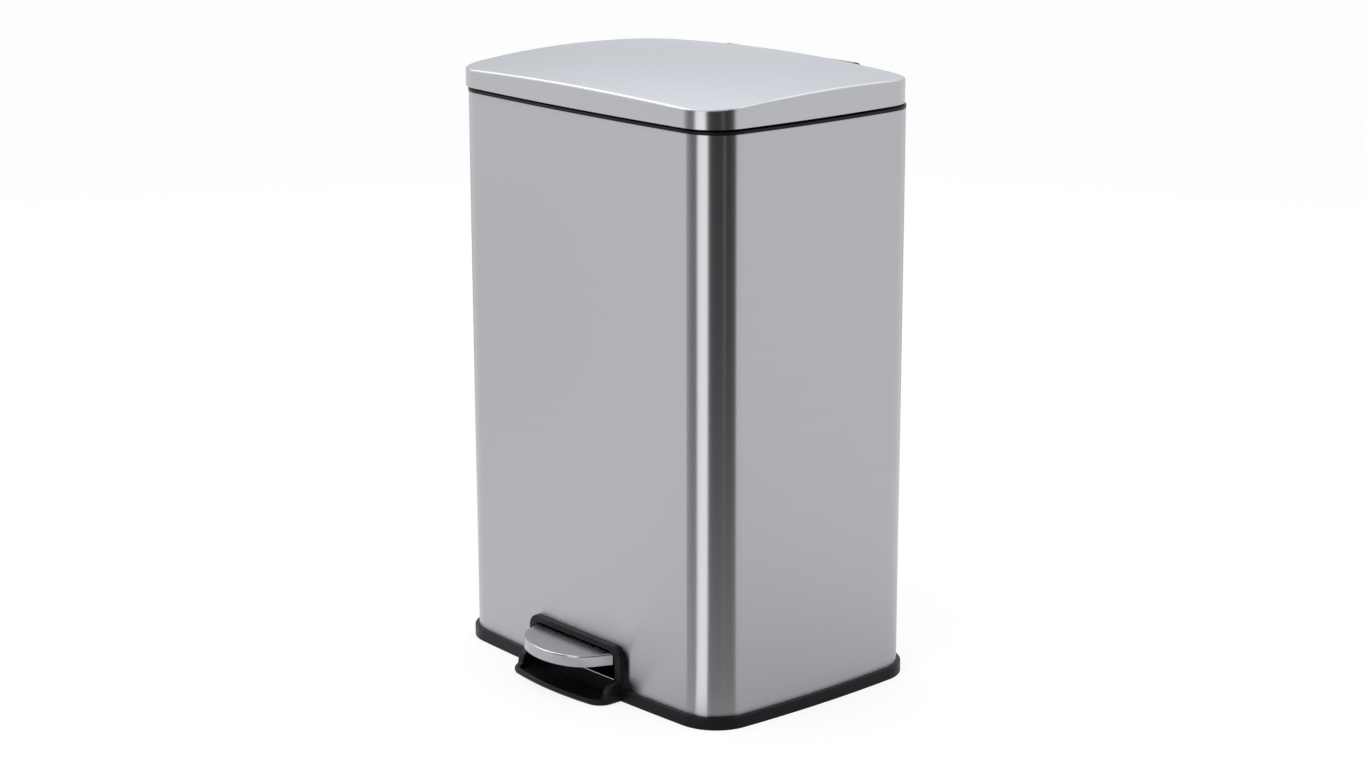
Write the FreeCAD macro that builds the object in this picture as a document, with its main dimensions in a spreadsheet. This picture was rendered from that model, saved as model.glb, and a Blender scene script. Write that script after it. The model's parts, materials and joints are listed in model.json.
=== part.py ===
import FreeCAD, Part
import math
import os
import re
import Sketcher

# Rectangular steel pedal bin with a hinged domed lid.
# Frame: origin on the floor under the middle of the steel body, +X to the right
# seen from the front, -Y towards the pedal, +Z up. Millimetres and degrees.

SIZES = {
    # Steel body: four bowed walls joined by round corners
    "body_width": 424.0,
    "body_depth": 296.0,
    "front_bow": 3000.0,
    "side_bow": 1500.0,
    "corner_radius": 42.0,
    "shell_wall": 0.8,
    "shell_top": 609.3,
    # Clearances
    "fit_gap": 0.2,
    "run_gap": 0.05,
    "side_gap": 0.4,
    "cut_past": 1.0,
    # Base moulding
    "band_height": 12.7,
    "band_proud": 4.7,
    "band_round": 1.5,
    "groove_floor": 4.0,
    "base_wall": 2.5,
    "deck_top": 64.0,
    "deck_thick": 3.0,
    "rib_thick": 2.0,
    "rib_depth": 12.0,
    "rib_spacing": 100.0,
    "plate_level": 1.0,
    "plate_boss": 5.0,
    "plate_screw_depth": 90.0,
    "plate_screw_head": 0.8,
    # Pedal surround and scoop, moulded with the base
    "hood_top": 59.0,
    "hood_wall": 9.5,
    "hood_corner": 13.0,
    "hood_proud": 6.5,
    "hood_round": 2.2,
    "flare_start": 44.0,
    "flare_bow": 60.0,
    "mouth_half": 67.0,
    "mouth_top": 52.0,
    "mouth_corner": 9.0,
    "scoop_reach": 41.0,
    "root_spread": 12.0,
    "root_back": 2.4,
    "root_bow": 11.5,
    "scoop_bow": 400.0,
    "scoop_corner": 19.0,
    "scoop_wall": 5.0,
    "scoop_lip": 6.5,
    "scoop_foot": 3.0,
    "sweep_radius": 17.0,
    "lip_round": 1.2,
    "tray_floor": 3.0,
    "tray_corner": 12.0,
    "sill_level": 17.7,
    "sill_wall": 2.3,
    "window_margin": 0.8,
    "window_side": 2.0,
    # Foot pads
    "foot_diameter": 24.0,
    "foot_height": 3.0,
    "stud_diameter": 8.0,
    "stud_length": 8.0,
    "foot_inset": 38.0,
    "boss_wall": 3.0,
    # Top rim
    "rim_flange": 3.2,
    "rim_proud": 0.3,
    "rim_skirt": 14.0,
    "rim_wall": 2.0,
    "lip_rise": 2.8,
    "lip_wall": 2.0,
    "ledge_side": 14.0,
    "ledge_rear": 31.0,
    "rod_hole_half": 8.0,
    "rod_hole_play": 1.5,
    # Inner bucket
    "bucket_play": 1.5,
    "bucket_flange": 5.0,
    "bucket_draft": 9.0,
    "bucket_wall": 2.0,
    "bucket_drop": 1.6,
    "flange_thick": 3.0,
    "grip_half": 45.0,
    "grip_depth": 32.0,
    "grip_corner": 6.0,
    # Lid
    "lid_gap": 5.7,
    "lid_rise": 35.0,
    "lid_grow": 0.7,
    "lid_shift": 2.5,
    "lid_wall": 0.7,
    "lid_round": 2.5,
    "lid_bevel": 1.1,
    "dome_across": 3016.0,
    "dome_along": 1397.0,
    "ridge_back": 27.7,
    "notch_half": 111.0,
    "notch_rise": 26.8,
    "notch_clear": 1.5,
    "notch_depth": 30.0,
    "liner_rise": 1.5,
    "liner_plate": 2.0,
    "liner_wall": 2.0,
    "liner_height": 10.0,
    "panel_margin": 34.0,
    "panel_sink": 0.8,
    "bumper_diameter": 10.0,
    "bumper_across": 62.0,
    "bumper_inset": 5.5,
    # Lid hinge
    "hinge_behind": 4.0,
    "hinge_rise": 16.5,
    "barrel_radius": 11.0,
    "barrel_half": 100.0,
    "neck_front": 9.0,
    "apron_back": 10.0,
    "apron_drop": 28.0,
    "apron_round": 4.0,
    "crank_bay_half": 14.0,
    "pin_diameter": 5.0,
    "pin_length": 32.0,
    "pin_end": 1.5,
    "arm_width": 8.0,
    "arm_eye": 8.0,
    "arm_foot": 27.0,
    "arm_heel": 15.0,
    "arm_front_height": 6.5,
    "arm_under": 60.0,
    "arm_over": 75.0,
    "crank_bay_back": 2.0,
    # Crank on the lid and push rod
    "crank_radius": 22.0,
    "crank_start": 44.0,
    "crank_plate": 2.5,
    "crank_eye": 6.0,
    "crank_foot": 26.0,
    "crank_heel": 10.0,
    "crank_toe": 5.0,
    "crank_under": 45.0,
    "crank_over": 60.0,
    "crank_clear": 2.0,
    "crank_half": 13.0,
    "crank_notch_half": 10.0,
    "rivet_head": 8.0,
    "rivet_rise": 1.2,
    "rod_thick": 2.5,
    "rod_width": 12.0,
    "rod_head_half": 10.0,
    "rod_head_rise": 7.0,
    "rod_shoulder": 10.0,
    "rod_eye": 7.0,
    "slot_play": 0.8,
    "guide_level": 330.0,
    "guide_height": 20.0,
    "guide_half": 16.0,
    "guide_wall": 2.5,
    "guide_play": 1.6,
    # Pedal lever, axle and pedal
    "axle_front": 40.0,
    "axle_level": 28.0,
    "axle_diameter": 8.0,
    "lever_half": 15.0,
    "lever_web": 3.0,
    "lever_cheek": 2.5,
    "lever_top": 43.0,
    "lever_tip": 38.0,
    "lever_bend": 18.0,
    "fork_play": 3.0,
    "cheek_depth": 8.0,
    "cheek_run": 24.0,
    "bush_wall": 1.5,
    "bush_flange": 3.0,
    "bush_rim": 1.6,
    "bracket_thick": 8.0,
    "bracket_radius": 9.0,
    "clip_diameter": 16.0,
    "clip_thick": 1.2,
    "axle_end": 2.0,
    "spacer_wall": 2.0,
    "pedal_top": 50.0,
    "pedal_edge": 12.0,
    "pedal_side": 2.8,
    "pedal_back": 5.0,
    "pedal_taper": 13.5,
    "pedal_reach": 52.0,
    "pedal_bow": 33.3,
    "pedal_corner": 42.0,
    "pedal_wall": 0.8,
    "pedal_round": 1.6,
    "core_lift": 1.0,
    "rivet_diameter": 5.0,
    "rivet_apart": 16.0,
    # Screws
    "screw_diameter": 4.0,
    "screw_head": 7.5,
    "screw_head_height": 2.4,
    "screw_length": 12.0,
    "screw_drop": 8.0,
    "screw_near": 40.0,
    "screw_far": 80.0,
    "lid_screw_length": 6.0,
}

doc = FreeCAD.newDocument("pedal_bin")
sheet = doc.addObject("Spreadsheet::Sheet", "Dim")
for row, (alias, value) in enumerate(SIZES.items(), start=1):
    sheet.set(f"A{row}", alias)
    sheet.set(f"B{row}", str(value))
    sheet.setAlias(f"B{row}", alias)
doc.recompute()

# Places worked out from the driving sizes
HALF_WIDTH = "body_width/2"
HALF_DEPTH = "body_depth/2"
RIM_TOP = "(shell_top + rim_flange)"
INNER_FIT = "(shell_wall + fit_gap)"
DECK_UNDER = "(deck_top - deck_thick)"
HOOD_FACE = "(body_depth/2 + hood_proud)"
HOOD_HALF = "(mouth_half + hood_wall)"
SCOOP_ROOT = f"({HOOD_HALF} + root_spread)"
SCOOP_FRONT = "(body_depth/2 + scoop_reach)"
TRAY_FRONT = f"({SCOOP_FRONT} - scoop_wall)"
PEDAL_HALF = "(mouth_half - pedal_side)"
PEDAL_NOSE_HALF = f"({PEDAL_HALF} - pedal_taper)"
LID_LOW = "(shell_top + lid_gap)"
LID_PEAK = "(shell_top + lid_gap + lid_rise)"
LINER_LOW = "(shell_top + lid_gap + liner_rise)"
LINER_TOP = "(shell_top + lid_gap + liner_rise + liner_plate)"
OPEN_HALF_WIDTH = "(body_width/2 - ledge_side)"
OPEN_HALF_DEPTH = "(body_depth/2 - (ledge_side + ledge_rear)/2)"
OPEN_MIDDLE = "((ledge_side - ledge_rear)/2)"
OPEN_CORNER = "(corner_radius - ledge_side)"
HINGE_Y = "(body_depth/2 + hinge_behind)"
HINGE_Z = "(shell_top + lid_gap + hinge_rise)"
NOTCH_FRONT = f"({HINGE_Y} - barrel_radius - notch_clear)"
LIFT = "(crank_radius*sin(crank_start))"
CRANK_Y = f"({HINGE_Y} - crank_radius*cos(crank_start))"
CRANK_Z = f"({HINGE_Z} - {LIFT})"
ROD_Y = f"({HINGE_Y} - crank_radius*(1 + cos(crank_start))/2)"
ROD_Z = f"(axle_level - {LIFT})"
CRANK_NOTCH = f"({ROD_Y} - rod_head_half - crank_clear)"
ARM_INNER = "(barrel_half + side_gap)"
PEDAL_LOW = "(pedal_top - pedal_edge)"
LEVER_LOW = "(lever_top - lever_web)"
BUSH_RADIUS = "(axle_diameter/2 + run_gap + bush_wall)"
BRACKET_INNER = "(lever_half + bush_rim + side_gap)"
CLIP_INNER = f"({BRACKET_INNER} + bracket_thick + fit_gap)"
PEDAL_FRONT = "(-(body_depth/2 + pedal_reach))"
CORE_LOW = f"({PEDAL_LOW} + core_lift)"
CORE_TOP = "(pedal_top - pedal_wall - fit_gap)"
RIVET_LENGTH = f"({CORE_TOP} - {CORE_LOW} - bush_wall)"
BUCKET_LOW = "(deck_top + fit_gap)"
BUCKET_TOP = "(shell_top - bucket_drop)"
MOUTH = {"half_width": OPEN_HALF_WIDTH, "half_depth": OPEN_HALF_DEPTH, "middle": OPEN_MIDDLE,
         "corner": OPEN_CORNER}
# Plan order: front wall, front right corner and on round, as left or right and front or back
PLAN_TURNS = ((0, -1), (1, -1), (1, 0), (1, 1), (0, 1), (-1, 1), (-1, 0), (-1, -1))
TOUCH = 0.01


def dim(text):
    """Expression text with every size name pointed at the sheet."""
    return re.sub(r"[a-z_]+", lambda word: f"Dim.{word[0]}" if word[0] in SIZES else word[0], text)


def num(text):
    """Value of an expression as a plain number."""
    return float(sheet.evalExpression(dim(text)))


def bind(item, name, text):
    item.setExpression(name, dim(text))


def new_body(label):
    body = doc.addObject("PartDesign::Body", label)
    body.Label = label
    return body


def sketch_on(body, plane, level="0"):
    """Empty sketch on one of the body's own planes, moved along the plane's normal."""
    sketch = body.newObject("Sketcher::SketchObject", f"{body.Label}_{plane}_{len(body.Group)}")
    support = next(item for item in body.Origin.OriginFeatures if item.Role == f"{plane}_Plane")
    sketch.AttachmentSupport = [(support, "")]
    sketch.MapMode = "FlatFace"
    bind(sketch, "AttachmentOffset.Base.z", level)
    return sketch


def hold(sketch, kind, *where, text):
    """Constraint whose value follows an expression."""
    index = sketch.addConstraint(Sketcher.Constraint(kind, *where, num(text)))
    bind(sketch, f"Constraints[{index}]", text)


def arc(center, radius, start, end):
    """Anticlockwise arc from the direction of one point to that of another."""
    first = math.atan2(start.y - center.y, start.x - center.x)
    last = math.atan2(end.y - center.y, end.x - center.x)
    circle = Part.Circle(center, FreeCAD.Vector(0, 0, 1), radius)
    return Part.ArcOfCircle(circle, first, last if last > first else last + 2*math.pi)


def add_circle(sketch, x, y, radius):
    center = FreeCAD.Vector(num(x), num(y), 0)
    index = sketch.addGeometry(Part.Circle(center, FreeCAD.Vector(0, 0, 1), num(radius)))
    hold(sketch, "DistanceX", -1, 1, index, 3, text=x)
    hold(sketch, "DistanceY", -1, 1, index, 3, text=y)
    hold(sketch, "Radius", index, text=radius)


def add_outline(sketch, points, bows=None):
    """Closed outline through points; bows gives a radius to the side that starts at a point.

    Points run anticlockwise. A positive radius bows the side outwards, a negative one inwards.
    """
    bows = bows or {}
    places = [FreeCAD.Vector(num(x), num(y), 0) for x, y in points]
    sides = []
    for index, start in enumerate(places):
        end = places[(index + 1) % len(places)]
        if index not in bows:
            sides.append((sketch.addGeometry(Part.LineSegment(start, end)), 1, 2))
            continue
        radius = num(bows[index])
        middle = (start + end)/2
        chord = end - start
        left = FreeCAD.Vector(-chord.y, chord.x, 0).normalize()
        reach = math.sqrt(max(radius**2 - (chord.Length/2)**2, 0))
        center = middle + left*math.copysign(reach, radius)
        curve = arc(center, abs(radius), start, end) if radius > 0 else arc(center, -radius, end, start)
        sides.append((sketch.addGeometry(curve), 1, 2) if radius > 0 else (sketch.addGeometry(curve), 2, 1))
    for index, (side, first, last) in enumerate(sides):
        follower, opening, _ = sides[(index + 1) % len(sides)]
        sketch.addConstraint(Sketcher.Constraint("Coincident", side, last, follower, opening))
        hold(sketch, "DistanceX", -1, 1, side, first, text=points[index][0])
        hold(sketch, "DistanceY", -1, 1, side, first, text=points[index][1])
        if index in bows:
            text = bows[index]
            hold(sketch, "Radius", side, text=text if num(text) > 0 else f"-({text})")


def add_box(sketch, x_low, x_high, y_low, y_high):
    add_outline(sketch, [(x_low, y_low), (x_high, y_low), (x_high, y_high), (x_low, y_high)])


def add_plan(sketch, grow="0", half_width=HALF_WIDTH, half_depth=HALF_DEPTH, middle="0",
             corner="corner_radius"):
    """Bin plan: four bowed walls and four tangent corner arcs, grown outwards by an offset."""
    wide, deep, mid = num(half_width), num(half_depth), num(middle)
    front, side, round_off = (num(f"{name} + {grow}") for name in ("front_bow", "side_bow", corner))
    offset = num(grow)
    fall = front - offset - deep
    run = side - offset - wide
    # Corner centre: where the two walls' circles, both drawn in by the corner radius, cross
    near, far = front - round_off, side - round_off
    apart = math.hypot(fall, run)
    along = (near**2 - far**2 + apart**2)/(2*apart)
    across = math.sqrt(near**2 - along**2)
    unit_x, unit_y = -run/apart, -fall/apart
    corner_x = along*unit_x - across*unit_y
    corner_y = fall + along*unit_y + across*unit_x
    centers = []
    for turn_x, turn_y in PLAN_TURNS:
        if turn_x == 0:
            place, radius = (0, -turn_y*fall), front
        elif turn_y == 0:
            place, radius = (-turn_x*run, 0), side
        else:
            place, radius = (turn_x*abs(corner_x), turn_y*abs(corner_y)), round_off
        centers.append((FreeCAD.Vector(place[0], place[1] + mid, 0), radius))
    count = len(centers)
    joints = []
    for index in range(count):
        after = (index + 1) % count
        wall, bend = (index, after) if index % 2 == 0 else (after, index)
        origin, radius = centers[wall]
        joints.append(origin + (centers[bend][0] - origin).normalize()*radius)
    arcs = []
    for index, (center, radius) in enumerate(centers):
        arcs.append(sketch.addGeometry(arc(center, radius, joints[index - 1], joints[index])))
    for index in range(count):
        sketch.addConstraint(Sketcher.Constraint("Tangent", arcs[index], 2, arcs[(index + 1) % count], 1))
    for wall, (turn_x, turn_y) in zip(arcs, PLAN_TURNS):
        if turn_x and turn_y:
            hold(sketch, "Radius", wall, text=f"{corner} + {grow}")
            continue
        bow = "side_bow" if turn_x else "front_bow"
        hold(sketch, "DistanceX", -1, 1, wall, 3, text=f"({turn_x})*({half_width} - side_bow)")
        hold(sketch, "DistanceY", -1, 1, wall, 3, text=f"{middle} + ({turn_y})*({half_depth} - front_bow)")
        hold(sketch, "Radius", wall, text=f"{bow} + {grow}")


def extrude(body, sketch, length, kind="Pad", both=False):
    """Pad or pocket along the sketch's normal, or to both sides of it; a pocket has to cut."""
    before = body.Shape.Volume if kind == "Pocket" else 0
    feature = body.newObject(f"PartDesign::{kind}", f"{sketch.Name}_{kind}")
    feature.Profile = sketch
    if both:
        feature.SideType = "Symmetric"
    elif kind == "Pocket":
        feature.Reversed = True
    bind(feature, "Length", length)
    doc.recompute()
    if kind == "Pocket" and not body.Shape.Volume < before:
        raise RuntimeError(f"{feature.Name} cuts nothing")
    return feature


def pad(body, plane, level, length, draw, *args, both=False, **named):
    sketch = sketch_on(body, plane, level)
    draw(sketch, *args, **named)
    return extrude(body, sketch, length, both=both)


def pocket(body, plane, level, length, draw, *args, both=False, **named):
    sketch = sketch_on(body, plane, level)
    draw(sketch, *args, **named)
    return extrude(body, sketch, length, kind="Pocket", both=both)


def ease_edges(body, kind, size, chosen):
    """Fillet or chamfer on the edges of the body that pass a test."""
    base = body.Tip
    names = [f"Edge{number}" for number, edge in enumerate(base.Shape.Edges, start=1) if chosen(edge)]
    if not names:
        raise RuntimeError(f"{body.Label} has no edge to ease")
    feature = body.newObject(f"PartDesign::{kind}", f"{body.Label}_{kind}_{len(body.Group)}")
    feature.Base = (base, names)
    bind(feature, "Radius" if kind == "Fillet" else "Size", size)
    doc.recompute()
    if "Invalid" in feature.State:
        raise RuntimeError(f"{feature.Name} fails")


def round_edges(body, radius, chosen):
    ease_edges(body, "Fillet", radius, chosen)


def upright(edge):
    box = edge.BoundBox
    return box.XLength < TOUCH and box.YLength < TOUCH


def at_height(edge, text):
    box = edge.BoundBox
    return abs(box.ZMin - num(text)) < TOUCH and abs(box.ZMax - num(text)) < TOUCH


def upright_at(edge, half, y):
    """Upright edge at one depth and at the same distance to the left or right."""
    box = edge.BoundBox
    return upright(edge) and abs(abs(box.XMin) - num(half)) < TOUCH and abs(box.YMin - num(y)) < TOUCH


def add_circles(sketch, places, radius):
    for x, y in places:
        add_circle(sketch, x, y, radius)


def both_sides(x, y):
    return [(x, y), (f"-({x})", y)]


def four_corners(x, y):
    return both_sides(x, y) + both_sides(x, f"-({y})")


# Places that several pieces share: feet, pedal rivets and the screws under the lid
FEET = four_corners("body_width/2 - foot_inset", "body_depth/2 - foot_inset")
PLATE_SCREWS = four_corners("rib_spacing", "plate_screw_depth")
PEDAL_RIVETS = both_sides("rivet_apart/2", "-(body_depth/2 + lever_tip - rivet_apart/2)")
LID_SCREWS = (both_sides(f"{ARM_INNER} + arm_width/2", f"{NOTCH_FRONT} - arm_foot/4")
              + both_sides(f"{ARM_INNER} + arm_width/2", f"{NOTCH_FRONT} - 3*arm_foot/4")
              + both_sides("crank_half - screw_head/2", f"{CRANK_NOTCH} - crank_foot/2"))


def make_base():
    """One moulding: skirting band, shell groove, raised deck, pedal surround and scoop."""
    body = new_body("base")
    pad(body, "XY", "0", "band_height", add_plan, grow="band_proud")
    round_edges(body, "band_round", lambda edge: at_height(edge, "band_height"))
    # Pedal surround on the front wall, and the scoop in front of it with its sides flush
    root = "(body_depth/2 - band_proud)"
    pad(body, "XZ", root, "hood_proud + band_proud", add_box, f"-{HOOD_HALF}", HOOD_HALF, "0", "hood_top")
    round_edges(body, "hood_corner", lambda edge: at_height(edge, "hood_top")
                and edge.BoundBox.XLength < TOUCH)
    shoulder = f"-{SCOOP_FRONT} + scoop_bow - sqrt(scoop_bow^2 - {HOOD_HALF}^2)"
    scoop = [(f"-{HOOD_HALF}", f"-{root}"), (f"-{HOOD_HALF}", shoulder), (HOOD_HALF, shoulder),
             (HOOD_HALF, f"-{root}")]
    pad(body, "XY", "0", "scoop_lip + sweep_radius", add_outline, scoop, {1: "scoop_bow"})
    round_edges(body, "scoop_corner", lambda edge: upright_at(edge, HOOD_HALF, shoulder))
    # One sweep from the legs down to the lip
    past = f"-({SCOOP_FRONT} + scoop_wall)"
    sweep = [(past, "scoop_lip"), (f"-({HOOD_FACE} + sweep_radius)", "scoop_lip"),
             (f"-{HOOD_FACE}", "scoop_lip + sweep_radius"), (f"-{HOOD_FACE}", "hood_top + hood_corner"),
             (past, "hood_top + hood_corner")]
    pocket(body, "YZ", "0", "body_width", add_outline, sweep, {1: "-sweep_radius"}, both=True)
    # Mouth and tray behind the lip
    inner_bow = "(scoop_bow - scoop_wall)"
    inner = f"-{TRAY_FRONT} + {inner_bow} - sqrt({inner_bow}^2 - mouth_half^2)"
    back = "-(body_depth/2 + fit_gap + sill_wall)"
    tray = [("-mouth_half", back), ("-mouth_half", inner), ("mouth_half", inner), ("mouth_half", back)]
    pocket(body, "XY", "tray_floor", "mouth_top - tray_floor", add_outline, tray, {1: inner_bow})
    round_edges(body, "tray_corner", lambda edge: upright_at(edge, "mouth_half", inner))
    round_edges(body, "mouth_corner", lambda edge: at_height(edge, "mouth_top")
                and edge.BoundBox.YLength > edge.BoundBox.XLength)
    # Soft edges: round the outside, round the mouth and lip, and along the foot of the scoop
    round_edges(body, "hood_round", lambda edge: on_sweep(edge) and outside_mouth(edge))
    round_edges(body, "lip_round", lambda edge: on_sweep(edge) and on_mouth(edge))
    round_edges(body, "scoop_foot", lambda edge: at_height(edge, "0") and on_scoop(edge))
    # Roots that spread from the legs to the band and thin out upwards
    for side in ("1", "-1"):
        add_root(body, side, root)
    # Groove for the steel shell, and the wall and deck inside it
    pocket(body, "XY", "groove_floor", "hood_top", add_plan, grow="fit_gap")
    pad(body, "XY", "0", "deck_top", add_plan, grow=f"-{INNER_FIT}")
    pocket(body, "XY", "0", DECK_UNDER, add_plan, grow=f"-({INNER_FIT} + base_wall)")
    # Ribs under the deck, bosses for the feet and bearing cheeks for the axle
    inside = f"(body_depth/2 - {INNER_FIT} - base_wall/2)"
    for x in ("rib_spacing", "-rib_spacing"):
        pad(body, "XY", f"{DECK_UNDER} - rib_depth", "rib_depth", add_box, f"{x} - rib_thick/2",
            f"{x} + rib_thick/2", f"-{inside} + front_bow - sqrt(front_bow^2 - rib_spacing^2)",
            f"{inside} - front_bow + sqrt(front_bow^2 - rib_spacing^2)")
    pad(body, "XY", "foot_height", f"{DECK_UNDER} - foot_height", add_circles, FEET,
        "foot_diameter/2 + boss_wall")
    pocket(body, "XY", "foot_height", "stud_length", add_circles, FEET, "stud_diameter/2 + run_gap")
    pad(body, "XY", "foot_height", f"{DECK_UNDER} - foot_height", add_circles, PLATE_SCREWS, "plate_boss")
    pocket(body, "XY", "foot_height", "screw_length", add_circles, PLATE_SCREWS,
           "screw_diameter/2 + run_gap")
    span = f"2*({BRACKET_INNER} + bracket_thick)"
    pad(body, "YZ", "0", span, add_box, "-axle_front - bracket_radius", "-axle_front + bracket_radius",
        "axle_level", DECK_UNDER, both=True)
    pad(body, "YZ", "0", span, add_circle, "-axle_front", "axle_level", "bracket_radius", both=True)
    pocket(body, "YZ", "0", f"2*{BRACKET_INNER}", add_box, "-axle_front - 2*bracket_radius",
           "-axle_front + 2*bracket_radius", "0", DECK_UNDER, both=True)
    pocket(body, "YZ", "0", f"{span} + cut_past", add_circle, "-axle_front", "axle_level",
           "axle_diameter/2 + run_gap", both=True)
    # Window for the lever, and the slot where the push rod comes up
    inside_face = f"(body_depth/2 - {INNER_FIT} - base_wall)"
    pocket(body, "XZ", f"{inside_face} - cut_past", f"-({back}) - {inside_face} + cut_past", add_box,
           "-(mouth_half - window_side)", "mouth_half - window_side", "sill_level", "mouth_top")
    pocket(body, "XY", DECK_UNDER, "deck_thick + cut_past", add_box, "-rod_hole_half", "rod_hole_half",
           f"{ROD_Y} - rod_head_half", f"{ROD_Y} + rod_head_half")
    return body


def on_sweep(edge):
    """Edge of the one surface that runs from the surround's front face down to the lip."""
    box = edge.BoundBox
    on_face = abs(box.YMin + num(HOOD_FACE)) < TOUCH and box.YLength < TOUCH
    ahead = box.YMax < num(f"-{HOOD_FACE}") + TOUCH
    above_lip = box.ZMin > num("scoop_lip") - TOUCH
    return above_lip and (on_face or ahead)


def reach_across(edge):
    return max(abs(edge.BoundBox.XMin), abs(edge.BoundBox.XMax))


def outside_mouth(edge):
    box = edge.BoundBox
    over_mouth = box.ZMin > num("mouth_top") + TOUCH
    before_tray = box.YMin < num(f"-{TRAY_FRONT}") - TOUCH
    return reach_across(edge) > num("mouth_half") + TOUCH or over_mouth or before_tray


def on_mouth(edge):
    return not outside_mouth(edge)


def on_scoop(edge):
    """Edge of the scoop's outline in front of the band."""
    return edge.BoundBox.YMin < num(f"-{HOOD_FACE}") - TOUCH


def add_root(body, side, back):
    """Spreading foot beside one leg, hollow both in plan and seen from the front."""
    neck = f"-({HOOD_FACE} - root_back)"
    foot = [(f"{side}*{HOOD_HALF}", f"-{back}"), (f"{side}*{HOOD_HALF}", neck),
            (f"{side}*{SCOOP_ROOT}", f"-{back}")]
    wall = [(f"{side}*{HOOD_HALF}", "flare_start"), (f"{side}*{SCOOP_ROOT}", "band_height"),
            (f"{side}*({SCOOP_ROOT} + cut_past)", "band_height"),
            (f"{side}*({SCOOP_ROOT} + cut_past)", "flare_start")]
    foot_bows, wall_bows = {1: "-root_bow"}, {0: "flare_bow"}
    if side == "-1":
        foot = [foot[0], foot[2], foot[1]]
        wall = [wall[0], wall[3], wall[2], wall[1]]
        wall_bows = {3: "flare_bow"}
    pad(body, "XY", "0", "flare_start", add_outline, foot, foot_bows)
    pocket(body, "XZ", back, f"{HOOD_FACE} - {back}", add_outline, wall, wall_bows)


def make_shell():
    """Folded steel wrapper, open at both ends, with the lever window low in the front wall."""
    body = new_body("outer_shell")
    pad(body, "XY", "groove_floor", "shell_top - groove_floor", add_plan)
    pocket(body, "XY", "groove_floor", "shell_top", add_plan, grow="-shell_wall")
    sill = "sill_level + window_margin"
    pocket(body, "XZ", "body_depth/2 - shell_wall - cut_past", "shell_wall + 2*cut_past", add_box,
           "-mouth_half", "mouth_half", sill, "mouth_top + window_margin")
    hinge_screw_holes(body, "screw_diameter/2 + run_gap")
    return body


def hinge_screw_places():
    level = "shell_top - screw_drop"
    return both_sides("screw_near", level) + both_sides("screw_far", level)


def hinge_screw_holes(body, radius):
    pocket(body, "XZ", f"-({HINGE_Y} + 2*barrel_radius)", "4*barrel_radius", add_circles,
           hinge_screw_places(), radius)


def make_rim():
    """Plastic rim that plugs into the shell and carries the hinge and the mouth of the bucket."""
    body = new_body("top_rim")
    pad(body, "XY", "shell_top", "rim_flange", add_plan, grow="rim_proud")
    pad(body, "XY", "shell_top - rim_skirt", "rim_skirt", add_plan, grow=f"-{INNER_FIT}")
    pocket(body, "XY", "shell_top - rim_skirt", "rim_skirt", add_plan, grow=f"-({INNER_FIT} + rim_wall)")
    pad(body, "XY", RIM_TOP, "lip_rise", add_plan, grow="lip_wall", **MOUTH)
    pocket(body, "XY", "shell_top - cut_past", "rim_flange + lip_rise + 2*cut_past", add_plan, **MOUTH)
    pocket(body, "XY", "shell_top - cut_past", "rim_flange + 2*cut_past", add_box, "-rod_hole_half",
           "rod_hole_half", f"{ROD_Y} - rod_head_half - rod_hole_play",
           f"{ROD_Y} + rod_head_half + rod_hole_play")
    hinge_screw_holes(body, "screw_diameter/2 + run_gap")
    return body


def make_hinge_housing():
    """Rear housing: a barrel for the hinge pins, a neck on the rim and an apron down the back wall."""
    body = new_body("hinge_housing")
    pad(body, "YZ", "0", "2*barrel_half", add_circle, HINGE_Y, HINGE_Z, "barrel_radius", both=True)
    back = "(body_depth/2 + apron_back + hinge_behind)"
    low = "(shell_top - apron_drop)"
    neck = [(f"{HINGE_Y} - neck_front", low), (back, low), (back, HINGE_Z),
            (f"{HINGE_Y} - neck_front", HINGE_Z)]
    pad(body, "YZ", "0", "2*barrel_half", add_outline, neck, both=True)
    pocket(body, "XY", f"{low} - cut_past", f"{RIM_TOP} - {low} + cut_past", add_plan,
           grow="rim_proud + fit_gap")
    pocket(body, "YZ", "0", "2*crank_bay_half", add_box, f"{HINGE_Y} - 3*barrel_radius",
           f"{HINGE_Y} - crank_bay_back", RIM_TOP, f"{HINGE_Z} + 2*barrel_radius", both=True)
    pocket(body, "YZ", "0", "2*barrel_half + cut_past", add_circle, HINGE_Y, HINGE_Z,
           "pin_diameter/2 + run_gap", both=True)
    hinge_screw_holes(body, "screw_diameter/2 + run_gap")
    pocket(body, "XZ", f"-({back} + cut_past)", "screw_head_height + cut_past", add_circles,
           hinge_screw_places(), "screw_head/2 + fit_gap")
    round_edges(body, "apron_round", lambda edge: at_height(edge, low)
                and abs(edge.BoundBox.YMin - num(back)) < TOUCH)
    return body


def make_hinge_screws():
    body = new_body("hinge_screws")
    back = "(body_depth/2 + apron_back + hinge_behind)"
    pad(body, "XZ", f"-{back}", "screw_head_height", add_circles, hinge_screw_places(), "screw_head/2")
    pad(body, "XZ", f"-({back} - screw_head_height)", "screw_length + apron_back - 2*screw_head_height",
        add_circles, hinge_screw_places(), "screw_diameter/2")
    return body


def make_hinge_pins():
    """Two steel pins, fixed in the barrel, on which the lid's arms turn."""
    body = new_body("hinge_pins")
    outer = f"({ARM_INNER} + arm_width + pin_end)"
    pad(body, "YZ", f"{outer} - pin_length", "pin_length", add_circle, HINGE_Y, HINGE_Z, "pin_diameter/2")
    pad(body, "YZ", f"-{outer}", "pin_length", add_circle, HINGE_Y, HINGE_Z, "pin_diameter/2")
    return body


def make_feet():
    body = new_body("foot_pads")
    pad(body, "XY", "0", "foot_height", add_circles, FEET, "foot_diameter/2")
    pad(body, "XY", "foot_height", "stud_length - fit_gap", add_circles, FEET, "stud_diameter/2")
    return body


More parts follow.
